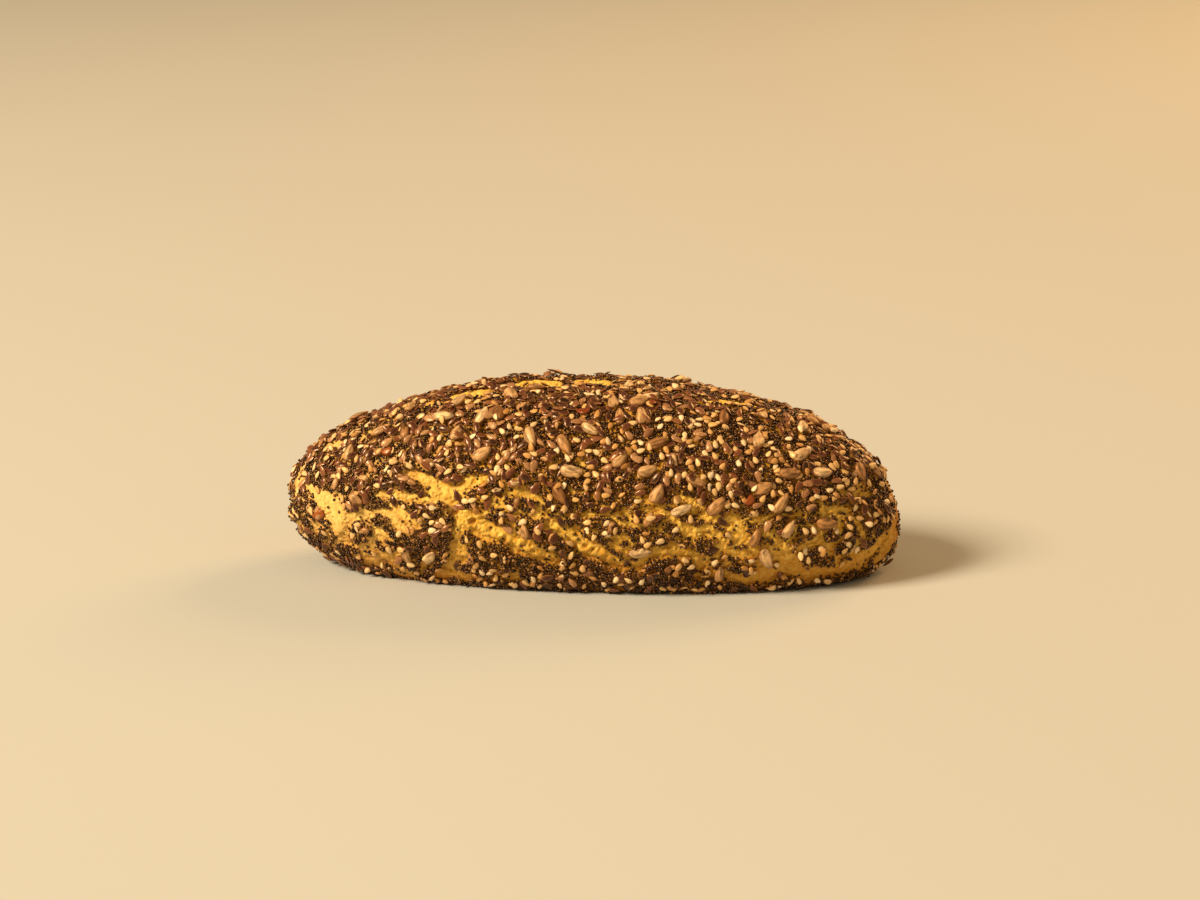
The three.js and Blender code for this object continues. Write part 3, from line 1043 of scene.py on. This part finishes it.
# %% [markdown]
# ## Piling the seeds up
#
# On the real loaf the seeds lie two or three deep, propped on each other at all angles, and that is what makes the
# crust look rough. A rigid body simulation of thirty thousand seeds would be slow. Instead, a bed of sample points
# over the crust remembers how high the pile is. Each seed reads the bed under its own outline, lies down along the
# slope it finds there, and then raises the bed by its own thickness. That is one quick step for each seed.

# %% The seed bed
BED_POINTS = 200000
bed_rng = np.random.default_rng(5)
bed_places, _, _ = throw_darts(bed_rng, BED_POINTS)
bed_height = np.zeros(BED_POINTS)
bed_tree = KDTree(BED_POINTS)
for row, spot in enumerate(bed_places.tolist()):
    bed_tree.insert(spot, row)
bed_tree.balance()
print("the bed has", BED_POINTS, "sample points")

# %% [markdown]
# ## Resting a flat seed
#
# A flat seed comes to rest on what is under it. The plane that fits the bed best under its outline gives its tilt
# along and across, and the seed's own thickness is then added to the bed as a low dome. A seed that would come to
# lie too high is turned away, as it would have rolled off.

# %% Rest a flat seed on the bed
# The steepest slopes on which a seed still lies, along it and across it.
STEEPEST_ALONG = 0.55
STEEPEST_ACROSS = 0.7
FEWEST_POINTS = 5


def lay_seed(place, up, front, half, press, cap):
    """Rests one flat seed on the pile. Gives its middle and directions, or None if the pile is full there."""
    found = bed_tree.find_range(place, half[0])
    rows = np.array([row for _, row, _ in found], int)
    side = np.cross(up, front)
    offset = bed_places[rows] - place
    u, v = offset @ front, offset @ side
    reach = (u / half[0]) ** 2 + (v / half[1]) ** 2
    under = reach < 1
    level, lean_u, lean_v = 0.0, 0.0, 0.0
    if under.sum() > FEWEST_POINTS:
        rows, u, v, reach = rows[under], u[under], v[under], reach[under]
        pile = bed_height[rows]
        lean_u = np.clip((u * (pile - pile.mean())).sum() / (u * u).sum(), -STEEPEST_ALONG, STEEPEST_ALONG)
        lean_v = np.clip((v * (pile - pile.mean())).sum() / (v * v).sum(), -STEEPEST_ACROSS, STEEPEST_ACROSS)
        rest = pile - lean_u * u - lean_v * v
        level = rest.mean() + 0.5 * rest.std()
    middle = level + press * half[2]
    if middle > cap:
        return None
    if under.sum() > FEWEST_POINTS:
        top = middle + lean_u * u + lean_v * v + half[2] * np.sqrt(1 - reach)
        bed_height[rows] = np.maximum(bed_height[rows], top)
    new_up = up - lean_u * front - lean_v * side
    new_up /= np.linalg.norm(new_up)
    new_front = front - (front @ new_up) * new_up
    return place + up * middle, new_up, new_front / np.linalg.norm(new_front)


# %% [markdown]
# ## Resting a round grain
#
# A poppy seed is too small and too round to tilt. It sinks between its neighbours until about half of it is
# hidden, so its middle lies half a radius above the bed there, and it adds its own round top to the bed.

# %% Rest a grain on the bed
# How far out the bed is read under a grain, and how high its middle then lies, as shares of its radius.
GRAIN_FOOT = 0.75
GRAIN_LIFT = 0.55


def lay_grain(place, up, radius, cap):
    """Rests one small round seed on the pile, nestled between those below it. Gives its middle or None."""
    found = bed_tree.find_range(place, radius)
    near = [bed_height[row] for _, row, distance in found if distance < GRAIN_FOOT * radius]
    middle = (sum(near) / len(near) if near else 0.0) + GRAIN_LIFT * radius
    if middle > cap:
        return None
    for _, row, distance in found:
        top = middle + math.sqrt(max(radius * radius - distance * distance, 0))
        if top > bed_height[row]:
            bed_height[row] = top
    return place + up * middle


# %% [markdown]
# ## Laying a seed on the crust
#
# A seed's pose is three directions: up from the crust, front towards its tip, and the side between them. The front
# is turned by a random spin. Together they make a turn matrix, and its Euler angles are what the planting needs.

# %% Spin and turn seeds
def spin_fronts(rng, ups):
    """A random direction along the crust for each seed's tip."""
    helper = np.where(np.abs(ups[:, :1]) < 0.8, [[1.0, 0, 0]], [[0, 1.0, 0]])
    across = np.cross(ups, helper)
    across /= np.linalg.norm(across, axis=1)[:, None]
    angle = rng.uniform(0, 2 * math.pi, len(ups))[:, None]
    return np.cos(angle) * np.cross(across, ups) + np.sin(angle) * across


def turns_of(fronts, ups):
    """Euler angles that point a seed's X to its front and its Z up."""
    fronts, ups = np.asarray(fronts), np.asarray(ups)
    side = np.cross(ups, fronts)
    return np.stack([
        np.arctan2(side[:, 2], ups[:, 2]),
        np.arcsin(np.clip(-fronts[:, 2], -1, 1)),
        np.arctan2(fronts[:, 1], fronts[:, 0])], axis=1)


print("a seed that lies flat and points along +X turns by", turns_of([[1, 0, 0]], [[0, 0, 1]])[0].round(1))

# %% [markdown]
# ## Planting
#
# The copying itself is left to Geometry Nodes. Every seed is one point with a turn, a size and a tint, Instance on
# Points puts a copy there, and Realize Instances makes it real mesh. Joining thousands of copied objects would
# give the same mesh, but only after several minutes.

# %% The planting nodes
def planting_nodes():
    """A node group that puts a copy of one object on every point, posed by the points' own attributes."""
    group = bpy.data.node_groups.new("plant_seeds", "GeometryNodeTree")
    group.interface.new_socket("Geometry", in_out="INPUT", socket_type="NodeSocketGeometry")
    group.interface.new_socket("Seed", in_out="INPUT", socket_type="NodeSocketObject")
    group.interface.new_socket("Geometry", in_out="OUTPUT", socket_type="NodeSocketGeometry")
    entry = group.nodes.new("NodeGroupInput")
    leave = group.nodes.new("NodeGroupOutput")
    seed = group.nodes.new("GeometryNodeObjectInfo")
    scatter = group.nodes.new("GeometryNodeInstanceOnPoints")
    real = group.nodes.new("GeometryNodeRealizeInstances")
    group.links.new(entry.outputs["Geometry"], scatter.inputs["Points"])
    group.links.new(entry.outputs["Seed"], seed.inputs["Object"])
    group.links.new(seed.outputs["Geometry"], scatter.inputs["Instance"])
    for name, socket in (("turn", "Rotation"), ("size", "Scale")):
        attribute = group.nodes.new("GeometryNodeInputNamedAttribute")
        attribute.data_type = "FLOAT_VECTOR"
        attribute.inputs["Name"].default_value = name
        group.links.new(attribute.outputs["Attribute"], scatter.inputs[socket])
    group.links.new(scatter.outputs["Instances"], real.inputs["Geometry"])
    group.links.new(real.outputs["Geometry"], leave.inputs["Geometry"])
    return group


PLANTING = planting_nodes()
print("the planting group has", len(PLANTING.nodes), "nodes")

# %% [markdown]
# ## One kind of seed, one piece
#
# The points go into a small mesh of their own, which the node group reads. What it grows is then made the piece's
# real mesh, so no live modifier is left on it. Each seed also gets its own square of the bake map, since all the
# copies would otherwise lie on top of each other there.

# %% Prepare the points and the bake map
def make_bed(name, places, turns, sizes, tints):
    """A mesh of loose points that carry each seed's turn, size and tint."""
    bed = bpy.data.meshes.new(name + "_bed")
    bed.from_pydata((np.asarray(places) * MM).tolist(), [], [])
    fields = (("turn", "FLOAT_VECTOR", "vector", turns), ("size", "FLOAT_VECTOR", "vector", sizes),
              ("tint", "FLOAT", "value", tints))
    for key, kind, field, values in fields:
        store = bed.attributes.new(key, kind, "POINT")
        store.data.foreach_set(field, np.asarray(values, np.float32).ravel())
    return bed


def tile_bake_map(mesh, count):
    """Moves each seed's part of the UV map into a square of its own."""
    grid = math.ceil(math.sqrt(count))
    uv = np.empty(len(mesh.loops) * 2, np.float32)
    layer = mesh.uv_layers["OFBake"]
    layer.data.foreach_get("uv", uv)
    which = np.repeat(np.arange(count), len(mesh.loops) // count)
    tile = np.stack([which % grid, which // grid], axis=1)
    # A tenth of the square is left free on every side, so that no seed bleeds into its neighbour.
    placed = (uv.reshape(-1, 2) * 0.8 + 0.1 + tile) / grid
    layer.data.foreach_set("uv", placed.astype(np.float32).ravel())


# %% Plant one kind of seed
def plant(name, seed, places, turns, sizes, tints):
    """Plants copies of a seed as one piece of real mesh."""
    holder = bpy.data.objects.new(name + "_template", seed)
    piece = bpy.data.objects.new(name, make_bed(name, places, turns, sizes, tints))
    for item in (holder, piece):
        bpy.context.scene.collection.objects.link(item)
    modifier = piece.modifiers.new("plant", "NODES")
    modifier.node_group = PLANTING
    modifier[PLANTING.interface.items_tree["Seed"].identifier] = holder
    bpy.context.view_layer.update()
    planted = piece.evaluated_get(bpy.context.evaluated_depsgraph_get())
    grown = bpy.data.meshes.new_from_object(planted)
    piece.modifiers.clear()
    piece.data = grown
    grown.name = name
    for key in ("turn", "size"):
        grown.attributes.remove(grown.attributes[key])
    bpy.data.objects.remove(holder)
    tile_bake_map(grown, len(places))
    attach(piece, "root")
    grown.calc_loop_triangles()
    print(name, len(places), "seeds,", len(grown.loop_triangles), "triangles")
    return piece


# %% [markdown]
# ## A first layer of poppy seeds
#
# Poppy seeds are by far the most numerous and the smallest, so they find every gap. They go down first, in heaps
# with thin places between them, and the larger seeds then come to rest on the heaps at many angles. Where a seed
# may land is a wish between 0 and 1, worked out at each dart from its height, its place along the loaf and patches
# of noise.

# %% A scatter of poppy seeds
POPPY_RADIUS_MM = 0.56
# No poppy seed is laid below this height, so none sticks out under the loaf.
LOWEST_POPPY_MM = 0.9
poppies, poppy_ups = [], []


def lay_poppies(rng, darts, gap, wish, cap):
    """Lays poppy seeds where a random number falls under the wish at each dart."""
    place, slope, tear = throw_darts(rng, darts)
    good = (rng.random(darts) < wish(place, tear)) & (place[:, 2] > LOWEST_POPPY_MM)
    place, slope = place[good], slope[good]
    rows = thin_out(place, gap)
    heap = cap(place[rows])
    before = len(poppies)
    for spot, up, top in zip(place[rows], slope[rows], heap):
        middle = lay_grain(spot, up, POPPY_RADIUS_MM, top)
        if middle is not None:
            poppies.append(middle)
            poppy_ups.append(up)
    print("laid", len(poppies) - before, "poppy seeds")


# %% Where poppy seeds stick
def rubbed(place):
    """The tapered shoulder and tip were rubbed nearly clean of poppy seeds, and the golden skin shows there."""
    shoulder = smooth_step(34, 50, place[:, 2]) * smooth_step(-5, -45, place[:, 0])
    tip = 0.5 * smooth_step(-92, -104, place[:, 0])
    patches = smooth_step(0.3, 0.6, seed_patches(place, 13, 25.0))
    return np.maximum(shoulder, tip) * (place[:, 1] < 15) * patches


def skin_wish(place, tear):
    """Poppy seeds stick to the skin, crowd along torn edges, and only a few stray into the crumb."""
    strays = 0.005 + 0.06 * (seed_patches(place, 8, 21.0) > 0.8)
    # Fewer stuck where the crust met the tray.
    low = 0.4 * smooth_step(4, 1.5, place[:, 2])
    on_skin = (1.0 - 0.8 * rubbed(place)) * (1 - low)
    return np.where(tear < 0.02, on_skin, np.where(tear < 0.15, 0.14, strays))


def second_wish(place, tear):
    """The second scatter keeps to the skin, a little way off the torn edges."""
    return (tear < -0.1) * 0.9


def heap_height(place):
    """How high a heap of seeds may get: a single layer in some places, three deep in others."""
    return 0.7 + 1.5 * seed_patches(place, 6.5, 12.0) * (0.3 + 0.7 * seed_patches(place, 21, 14.0))


# %% Lay the first poppy seeds
rng = np.random.default_rng(41)
lay_poppies(rng, darts=120000, gap=0.93, wish=skin_wish, cap=heap_height)
lay_poppies(rng, darts=70000, gap=0.98, wish=second_wish, cap=heap_height)

# %% [markdown]
# ## Flax and sesame, first round
#
# Flax is thickest over the crest and the tapered half of the loaf, and sesame over the blunt half. Both thin out
# in patches, since no roll in the seed tray is even. They go down in mixed order, in two rounds with the kernels
# between them, so that the second round comes to rest on the first and on the kernels' edges.

# %% Where flax and sesame stick
def flax_wish(place):
    """Where flax is wanted: high up and towards the tapered end."""
    climb = smooth_step(18, 46, place[:, 2])
    taper_side = smooth_step(80, -60, place[:, 0])
    base = 0.12 * smooth_step(12, 4, place[:, 2])
    tip = 1 - 0.4 * smooth_step(-55, -85, place[:, 0])
    return (0.10 + base + 0.6 * climb * (0.3 + 0.7 * taper_side) * tip) * (0.3 + 0.9 * seed_patches(place, 12, 2.0))


def sesame_wish(place):
    """Where sesame is wanted: everywhere, but most towards the blunt end."""
    blunt_side = smooth_step(-80, 30, place[:, 0])
    climb = smooth_step(6, 40, place[:, 2])
    base = 0.5 * smooth_step(11, 4, place[:, 2])
    return (0.30 + 0.03 * blunt_side) * (0.6 + 0.4 * climb + base) * (0.2 + 1.1 * seed_patches(place, 11, 6.0))


# %% Lay a round of flax and sesame
# Half the length, width and thickness of each kind.
FLAX_HALF_MM = np.array([2.45, 1.25, 0.55])
SESAME_HALF_MM = np.array([1.75, 1.1, 0.36])
# The tear value under which each kind keeps, and the share of seeds that stick in a tear in spite of it.
FLAX_EDGE = -0.3
SESAME_EDGE = -0.05
STRAY_SHARE = 0.07
LOWEST_DART_MM = 2.2
LOWEST_SEED_MM = 1.6
KERNEL_CLEARANCE_MM = 2.5
# How far a seed's middle lies above what is under it, as a share of half its thickness.
SEED_PRESS = 0.75
laid_kinds = {"flax": [], "sesame": []}
big_seeds = []


def lay_round(rng, darts, gap, cap, flax_share):
    """Lays one round of flax and sesame in mixed order, clear of the middles of the big kernels."""
    place, slope, tear = throw_darts(rng, darts)
    is_flax = rng.random(darts) < flax_share
    wish = np.where(is_flax, flax_wish(place), sesame_wish(place))
    on_skin = (tear < np.where(is_flax, FLAX_EDGE, SESAME_EDGE)) | (rng.random(darts) < STRAY_SHARE)
    good = (rng.random(darts) < wish) & on_skin & (place[:, 2] > LOWEST_DART_MM)
    place, slope, is_flax = place[good], slope[good], is_flax[good]
    rows = thin_out(place, gap)
    fronts = spin_fronts(rng, slope)
    for row in rows.tolist():
        kernel_gaps = np.linalg.norm(np.array(big_seeds) - place[row], axis=1) if big_seeds else []
        if big_seeds and kernel_gaps.min() < KERNEL_CLEARANCE_MM:
            continue
        kind, half = ("flax", FLAX_HALF_MM) if is_flax[row] else ("sesame", SESAME_HALF_MM)
        laid = lay_seed(place[row], slope[row], fronts[row], half, SEED_PRESS, cap)
        if laid is not None and laid[0][2] > LOWEST_SEED_MM:
            laid_kinds[kind].append(laid)
    print({kind: len(laid) for kind, laid in laid_kinds.items()})


lay_round(np.random.default_rng(31), darts=16000, gap=2.5, cap=2.3, flax_share=0.6)

# %% [markdown]
# ## Sunflower kernels
#
# The CAD model holds the kernels that stand out most, each as a plain solid. Here a finer kernel takes the place
# of each one. Its middle, its long direction and its flat side are measured on the CAD mesh: the singular vectors
# of its points are its three axes, from the longest to the shortest. Its pointed end is the half with less width.

# %% Read the kernels from the CAD model
def kernel_pose(node):
    """Middle, long direction towards the point, and flat-side direction of a CAD kernel, in millimetres."""
    mesh_points = np.array([v.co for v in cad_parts[node].data.vertices]) / MM
    middle = (mesh_points.min(axis=0) + mesh_points.max(axis=0)) / 2
    _, _, axes = np.linalg.svd(mesh_points - mesh_points.mean(axis=0), full_matrices=False)
    long_way, _, flat_way = axes
    reach = (mesh_points - middle) @ long_way
    middle = middle + long_way * (reach.max() + reach.min()) / 2
    reach = (mesh_points - middle) @ long_way
    away = np.linalg.norm(mesh_points - middle - reach[:, None] * long_way, axis=1)
    if away[reach > 0].sum() > away[reach < 0].sum():
        long_way = -long_way
    # The flat side has to face away from a point inside the loaf, 22 mm up and a little nearer its middle.
    if flat_way @ (middle - np.array([middle[0] * 0.8, 0, 22])) < 0:
        flat_way = -flat_way
    return middle, long_way, flat_way


# How far outside its kernel a ray starts on its way down to the crust.
RAY_START_MM = 8

crust_tree = BVHTree.FromPolygons(spots.tolist(), corners.tolist())
kernel_nodes = sorted(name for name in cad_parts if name.startswith("kernel_"))
kernel_spots = []
for node in kernel_nodes:
    middle, long_way, flat_way = kernel_pose(node)
    hit, _, _, _ = crust_tree.ray_cast(Vector(middle + flat_way * RAY_START_MM), Vector(-flat_way))
    kernel_spots.append((np.array(hit), flat_way, long_way, 1.0))
print(len(kernel_nodes), "kernels read from the CAD model")

# %% [markdown]
# ## More kernels by hand
#
# A CAD model has room for only so many solids, so some kernels that also stand out are placed here, each as
# (mm along, degrees around, degrees turned). The nearest point of the crust gives the place and the way it faces.

# %% Add the listed kernels
MORE_KERNELS = [(-70, 79, 98), (-34, 62, 95), (103, 55, -65), (109, 71, -29), (85, 84, -18), (91, 84, 25),
                (81, 73, 90), (89, 43, 17), (51, -21, 82), (14, 89, 93), (19, 70, 30), (12, 60, 93),
                (-80, 62, 20), (-92, 50, 75)]
MORE_KERNEL_SIZE = 0.95


def spot_on_crust(mm_along, degrees_around, degrees_turned):
    """The crust point, the way it faces, and a direction along it turned from +X."""
    hit, _, row, _ = crust_tree.find_nearest(Vector(crust_spots([(mm_along, degrees_around)])[0]))
    up = slopes[corners[row]].mean(axis=0)
    up /= np.linalg.norm(up)
    forward = np.array([1.0, 0, 0]) - up[0] * up
    forward /= np.linalg.norm(forward)
    turn = math.radians(degrees_turned)
    return np.array(hit), up, math.cos(turn) * forward + math.sin(turn) * np.cross(up, forward)


for along, around, turned in MORE_KERNELS:
    kernel_spots.append((*spot_on_crust(along, around, turned), MORE_KERNEL_SIZE))
print(len(kernel_spots), "kernels with those placed by hand")

# %% [markdown]
# ## Broken kernels at random
#
# Kernels break when seed mixes are poured, so most of the rest are halves and crumbs. They lie thickest on the
# tapered shoulder, where whole ones are rare. A broken kernel is the same shape at a third to half of the size,
# which the eye takes for a piece when it lies half buried among other seeds.

# %% Add kernels at random
KERNEL_DARTS = 4000
# How far the scattered kernels stay from those placed already, and from each other.
PLACED_GAP_MM = 8
KERNEL_GAP_MM = 7
PIECE_GAP_MM = 4.2
LOWEST_KERNEL_MM = 12
WHOLE_SIZES = (0.75, 0.9)
BROKEN_SIZES = (0.34, 0.6)
CRUMB_SIZES = (0.3, 0.46)

rng = np.random.default_rng(21)
place, slope, tear = throw_darts(rng, KERNEL_DARTS)
taken = np.array([spot[0] for spot in kernel_spots])
free = np.array([np.linalg.norm(taken - p, axis=1).min() > PLACED_GAP_MM for p in place])
good = (tear < -0.3) & (place[:, 2] > LOWEST_KERNEL_MM) & free
place, slope = place[good], slope[good]
rows = thin_out(place, KERNEL_GAP_MM)
fronts = spin_fronts(rng, slope[rows])
for spot, up, front in zip(place[rows], slope[rows], fronts):
    on_shoulder = (spot[0] < -20) * (spot[2] > 40)
    if rng.random() < 0.3 + 0.6 * on_shoulder:
        sizes = WHOLE_SIZES if rng.random() < 0.2 - 0.15 * on_shoulder else BROKEN_SIZES
        kernel_spots.append((spot, up, front, rng.uniform(*sizes)))
print(len(kernel_spots), "kernels with those scattered over the whole crust")

# %% Add more crumbs to the shoulder
shoulder = (place[:, 0] < -15) & (place[:, 2] > 42) & (place[:, 1] < 12)
place, slope = place[shoulder], slope[shoulder]
rows = thin_out(place, PIECE_GAP_MM)
for spot, up, front in zip(place[rows], slope[rows], spin_fronts(rng, slope[rows])):
    if min(np.linalg.norm(spot - other[0]) for other in kernel_spots) > 4:
        kernel_spots.append((spot, up, front, rng.uniform(*CRUMB_SIZES)))
print(len(kernel_spots), "kernels, whole and broken")

# %% Lay and plant the kernels
KERNEL_HALF_MM = np.array([4.6, 2.35, 1.25])
KERNEL_PRESS = 0.55
# The pile is never too high for a kernel, because the kernels pressed in last stand out most.
NO_CAP_MM = 9.0

kernels_laid = []
for spot, up, front, size in kernel_spots:
    laid = lay_seed(spot, up, front, KERNEL_HALF_MM * size, KERNEL_PRESS, NO_CAP_MM)
    kernels_laid.append((*laid, size))
kernel_places, kernel_ups, kernel_fronts, kernel_sizes = [np.array(column) for column in zip(*kernels_laid)]
stretch = rng.uniform(0.82, 1.04, (len(kernels_laid), 3)) * kernel_sizes[:, None]
kernels = plant("sunflower_kernels", kernel_seed, kernel_places,
                turns_of(kernel_fronts, kernel_ups), stretch, rng.random(len(kernels_laid)))
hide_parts(*kernel_nodes)

# %% [markdown]
# ## Poppy seeds in the gaps
#
# A second scatter of poppy seeds rolls into the gaps between the larger seeds, and in a few places heaps up over
# them. The flat seeds of the next round then lie cleanly on top.

# %% Lay more poppy seeds
def gap_height(place):
    """These seeds stay low in the gaps, but in some patches they heap up over the larger seeds."""
    low = 1.0 - 0.6 * smooth_step(40, 55, place[:, 2])
    return 0.95 + 1.5 * low * smooth_step(0.55, 0.85, seed_patches(place, 5.5, 12.0))


def gap_wish(place, tear):
    """Where the second scatter lands: on the skin, in patches."""
    return (tear < -0.1) * (0.4 + 0.6 * seed_patches(place, 9, 19.0)) * (1 - 0.8 * rubbed(place))


rng = np.random.default_rng(43)
lay_poppies(rng, darts=90000, gap=1.0, wish=gap_wish, cap=gap_height)

# %% [markdown]
# ## Flax and sesame, second round
#
# The second round has more sesame in it, because the pale flat seeds were the last to stick. Then both kinds are
# planted, and flax is split between a broad and a slim seed so that the eye finds no repeat.

# %% Lay the second round
# Seeds keep clear of whole kernels only, and may lie across broken ones.
WHOLE_FROM = 0.8

big_seeds = [place for place, size in zip(kernel_places, kernel_sizes) if size > WHOLE_FROM]
lay_round(np.random.default_rng(32), darts=14000, gap=2.6, cap=2.9, flax_share=0.45)

# %% Plant both kinds
rng = np.random.default_rng(35)


def plant_kind(name, seed, laid):
    """Plants a list of laid seeds with random sizes and tints."""
    places, ups, fronts = [np.array(column) for column in zip(*laid)]
    sizes = rng.uniform(0.82, 1.06, (len(laid), 1)) * rng.uniform(0.94, 1.06, (len(laid), 3))
    plant(name, seed, places, turns_of(fronts, ups), sizes, rng.random(len(laid)))


plant_kind("flax_seeds_broad", flax_plain, laid_kinds["flax"][::2])
plant_kind("flax_seeds_slim", flax_slim, laid_kinds["flax"][1::2])
plant_kind("sesame_seeds", sesame_seed, laid_kinds["sesame"])

# %% [markdown]
# ## Amber flakes
#
# A few curled flakes of broken hull lie on top, a warm amber among the browns. They are so few that each one is
# listed, in the same way as the kernels, and they are pressed in least of all the seeds.

# %% Lay and plant the amber flakes
FLAKE_SPOTS = [(-104, 4, 30), (-77, 45, 10), (24, 70, 80), (-2, 62, 0), (62, 22, 50), (-20, 140, 20),
               (48, 150, 0), (88, 120, 40), (-70, 160, 70)]
FLAKE_HALF_MM = np.array([2.3, 1.7, 0.3])
FLAKE_PRESS = 1.2

flakes = [lay_seed(*spot_on_crust(*spot), FLAKE_HALF_MM, FLAKE_PRESS, NO_CAP_MM) for spot in FLAKE_SPOTS]
plant_kind("amber_flakes", flake_chip, flakes)

# %% [markdown]
# ## The last poppy seeds
#
# A thin last scatter of poppy seeds comes to rest on top of everything, because such small seeds keep moving until
# the very end. It is the same step as before, with a lower wish and a wider gap.

# %% Lay the last few poppy seeds
def last_wish(place, tear):
    """A few seeds anywhere on the skin."""
    return (tear < -0.1) * 0.3


def last_height(place):
    """How high a pile may be under the last seeds."""
    return 0.8 + 0.8 * seed_patches(place, 7, 23.0)


rng = np.random.default_rng(44)
lay_poppies(rng, darts=30000, gap=1.5, wish=last_wish, cap=last_height)
poppies, poppy_ups = np.array(poppies), np.array(poppy_ups)

# %% [markdown]
# ## Planting the poppies
#
# Poppy seeds that are buried too deep to see are left out, which saves a good many triangles: the bed remembers
# how high the pile is over each one. The rest are planted as several pieces, so that no mesh gets too heavy. Every
# fifth seed goes into the same piece, so each piece covers the whole loaf.

# %% Leave out the buried poppy seeds
# How much pile may lie over a poppy seed that still shows through it.
SEEN_THROUGH_MM = 0.35

seen = []
for row, (middle, up) in enumerate(zip(poppies, poppy_ups)):
    spot, _, _, _ = crust_tree.find_nearest(Vector(middle))
    spot = np.array(spot)
    own_top = (middle - spot) @ up + POPPY_RADIUS_MM
    found = bed_tree.find_range(spot, POPPY_RADIUS_MM)
    if not found or min(bed_height[i] for _, i, _ in found) < own_top + SEEN_THROUGH_MM:
        seen.append(row)
print(len(poppies) - len(seen), "buried poppy seeds left out of", len(poppies))
poppies, poppy_ups = poppies[seen], poppy_ups[seen]

# %% Plant the poppy seeds
POPPY_PIECES = 5
# The lowest place of a poppy seed's middle, as a share of its radius, so that it doesn't sink into the table.
LOWEST_SHARE = 1.15

poppies[:, 2] = np.maximum(poppies[:, 2], POPPY_RADIUS_MM * LOWEST_SHARE)
poppy_turns = turns_of(spin_fronts(rng, poppy_ups), poppy_ups)
poppy_sizes = rng.uniform(0.84, 1.14, (len(poppies), 1)) * rng.uniform(0.95, 1.05, (len(poppies), 3))
poppy_tints = rng.random(len(poppies))
for k in range(POPPY_PIECES):
    part = slice(k, None, POPPY_PIECES)
    plant(f"poppy_seeds_{k + 1}", poppy_seed, poppies[part], poppy_turns[part], poppy_sizes[part],
          poppy_tints[part])

# %% [markdown]
# ## Floor and light
#
# The floor is a plain pale sheet, large enough to fill the view. One big soft light stands to the left and in front.
# A weak one fills from the right, and a warm one behind the loaf brightens the crest and the floor. The world adds
# an even warm glow, so the shadow falls softly to the right of the loaf. A light that is large next to the object
# gives soft shadows and broad highlights, as a window does.

# %% Lay the floor
FLOOR_HALF_M = 6
floor_bm = bmesh.new()
bmesh.ops.create_grid(floor_bm, x_segments=2, y_segments=2, size=FLOOR_HALF_M)
floor_mesh = bpy.data.meshes.new("floor")
floor_bm.to_mesh(floor_mesh)
floor_bm.free()
floor = bpy.data.objects.new("floor", floor_mesh)
bpy.context.scene.collection.objects.link(floor)
# Matt paint. It gives the eye one even tone that takes its warmth from the light.
floor_paint, floor_shader = new_material("pale_cream_floor")
floor_shader.inputs["Base Color"].default_value = hex_colour("#BFBFBA")
floor_shader.inputs["Roughness"].default_value = 0.9
floor_mesh.materials.append(floor_paint)
print("the floor is", 2 * FLOOR_HALF_M, "m wide")


# %% Set up the lights
def soft_light(name, place, size, power, colour):
    """A square soft light aimed at the loaf."""
    data = bpy.data.lights.new(name, "AREA")
    data.size = size
    data.energy = power
    data.color = hex_colour(colour)[:3]
    lamp = bpy.data.objects.new(name, data)
    lamp.location = place
    lamp.rotation_euler = (LOAF_CENTRE - Vector(place)).to_track_quat("-Z", "Y").to_euler()
    bpy.context.scene.collection.objects.link(lamp)


soft_light("key", (-3.0, -1.75, 2.75), size=1.4, power=310, colour="#FFE9C6")
soft_light("fill", (1.4, -1.0, 0.9), size=1.6, power=2, colour="#FFE3B8")
soft_light("back", (2.0, 2.2, 1.7), size=1.6, power=70, colour="#FFC47C")
world = bpy.data.worlds.new("warm_room")
world.use_nodes = True
glow = world.node_tree.nodes["Background"]
glow.inputs["Color"].default_value = hex_colour("#F8DDB0")
glow.inputs["Strength"].default_value = 0.33
bpy.context.scene.world = world
# The plain display transform shows each hex colour as it was picked, so the turmeric stays vivid.
bpy.context.scene.view_settings.view_transform = "Standard"
print(len(bpy.data.lights), "lights and a warm world")
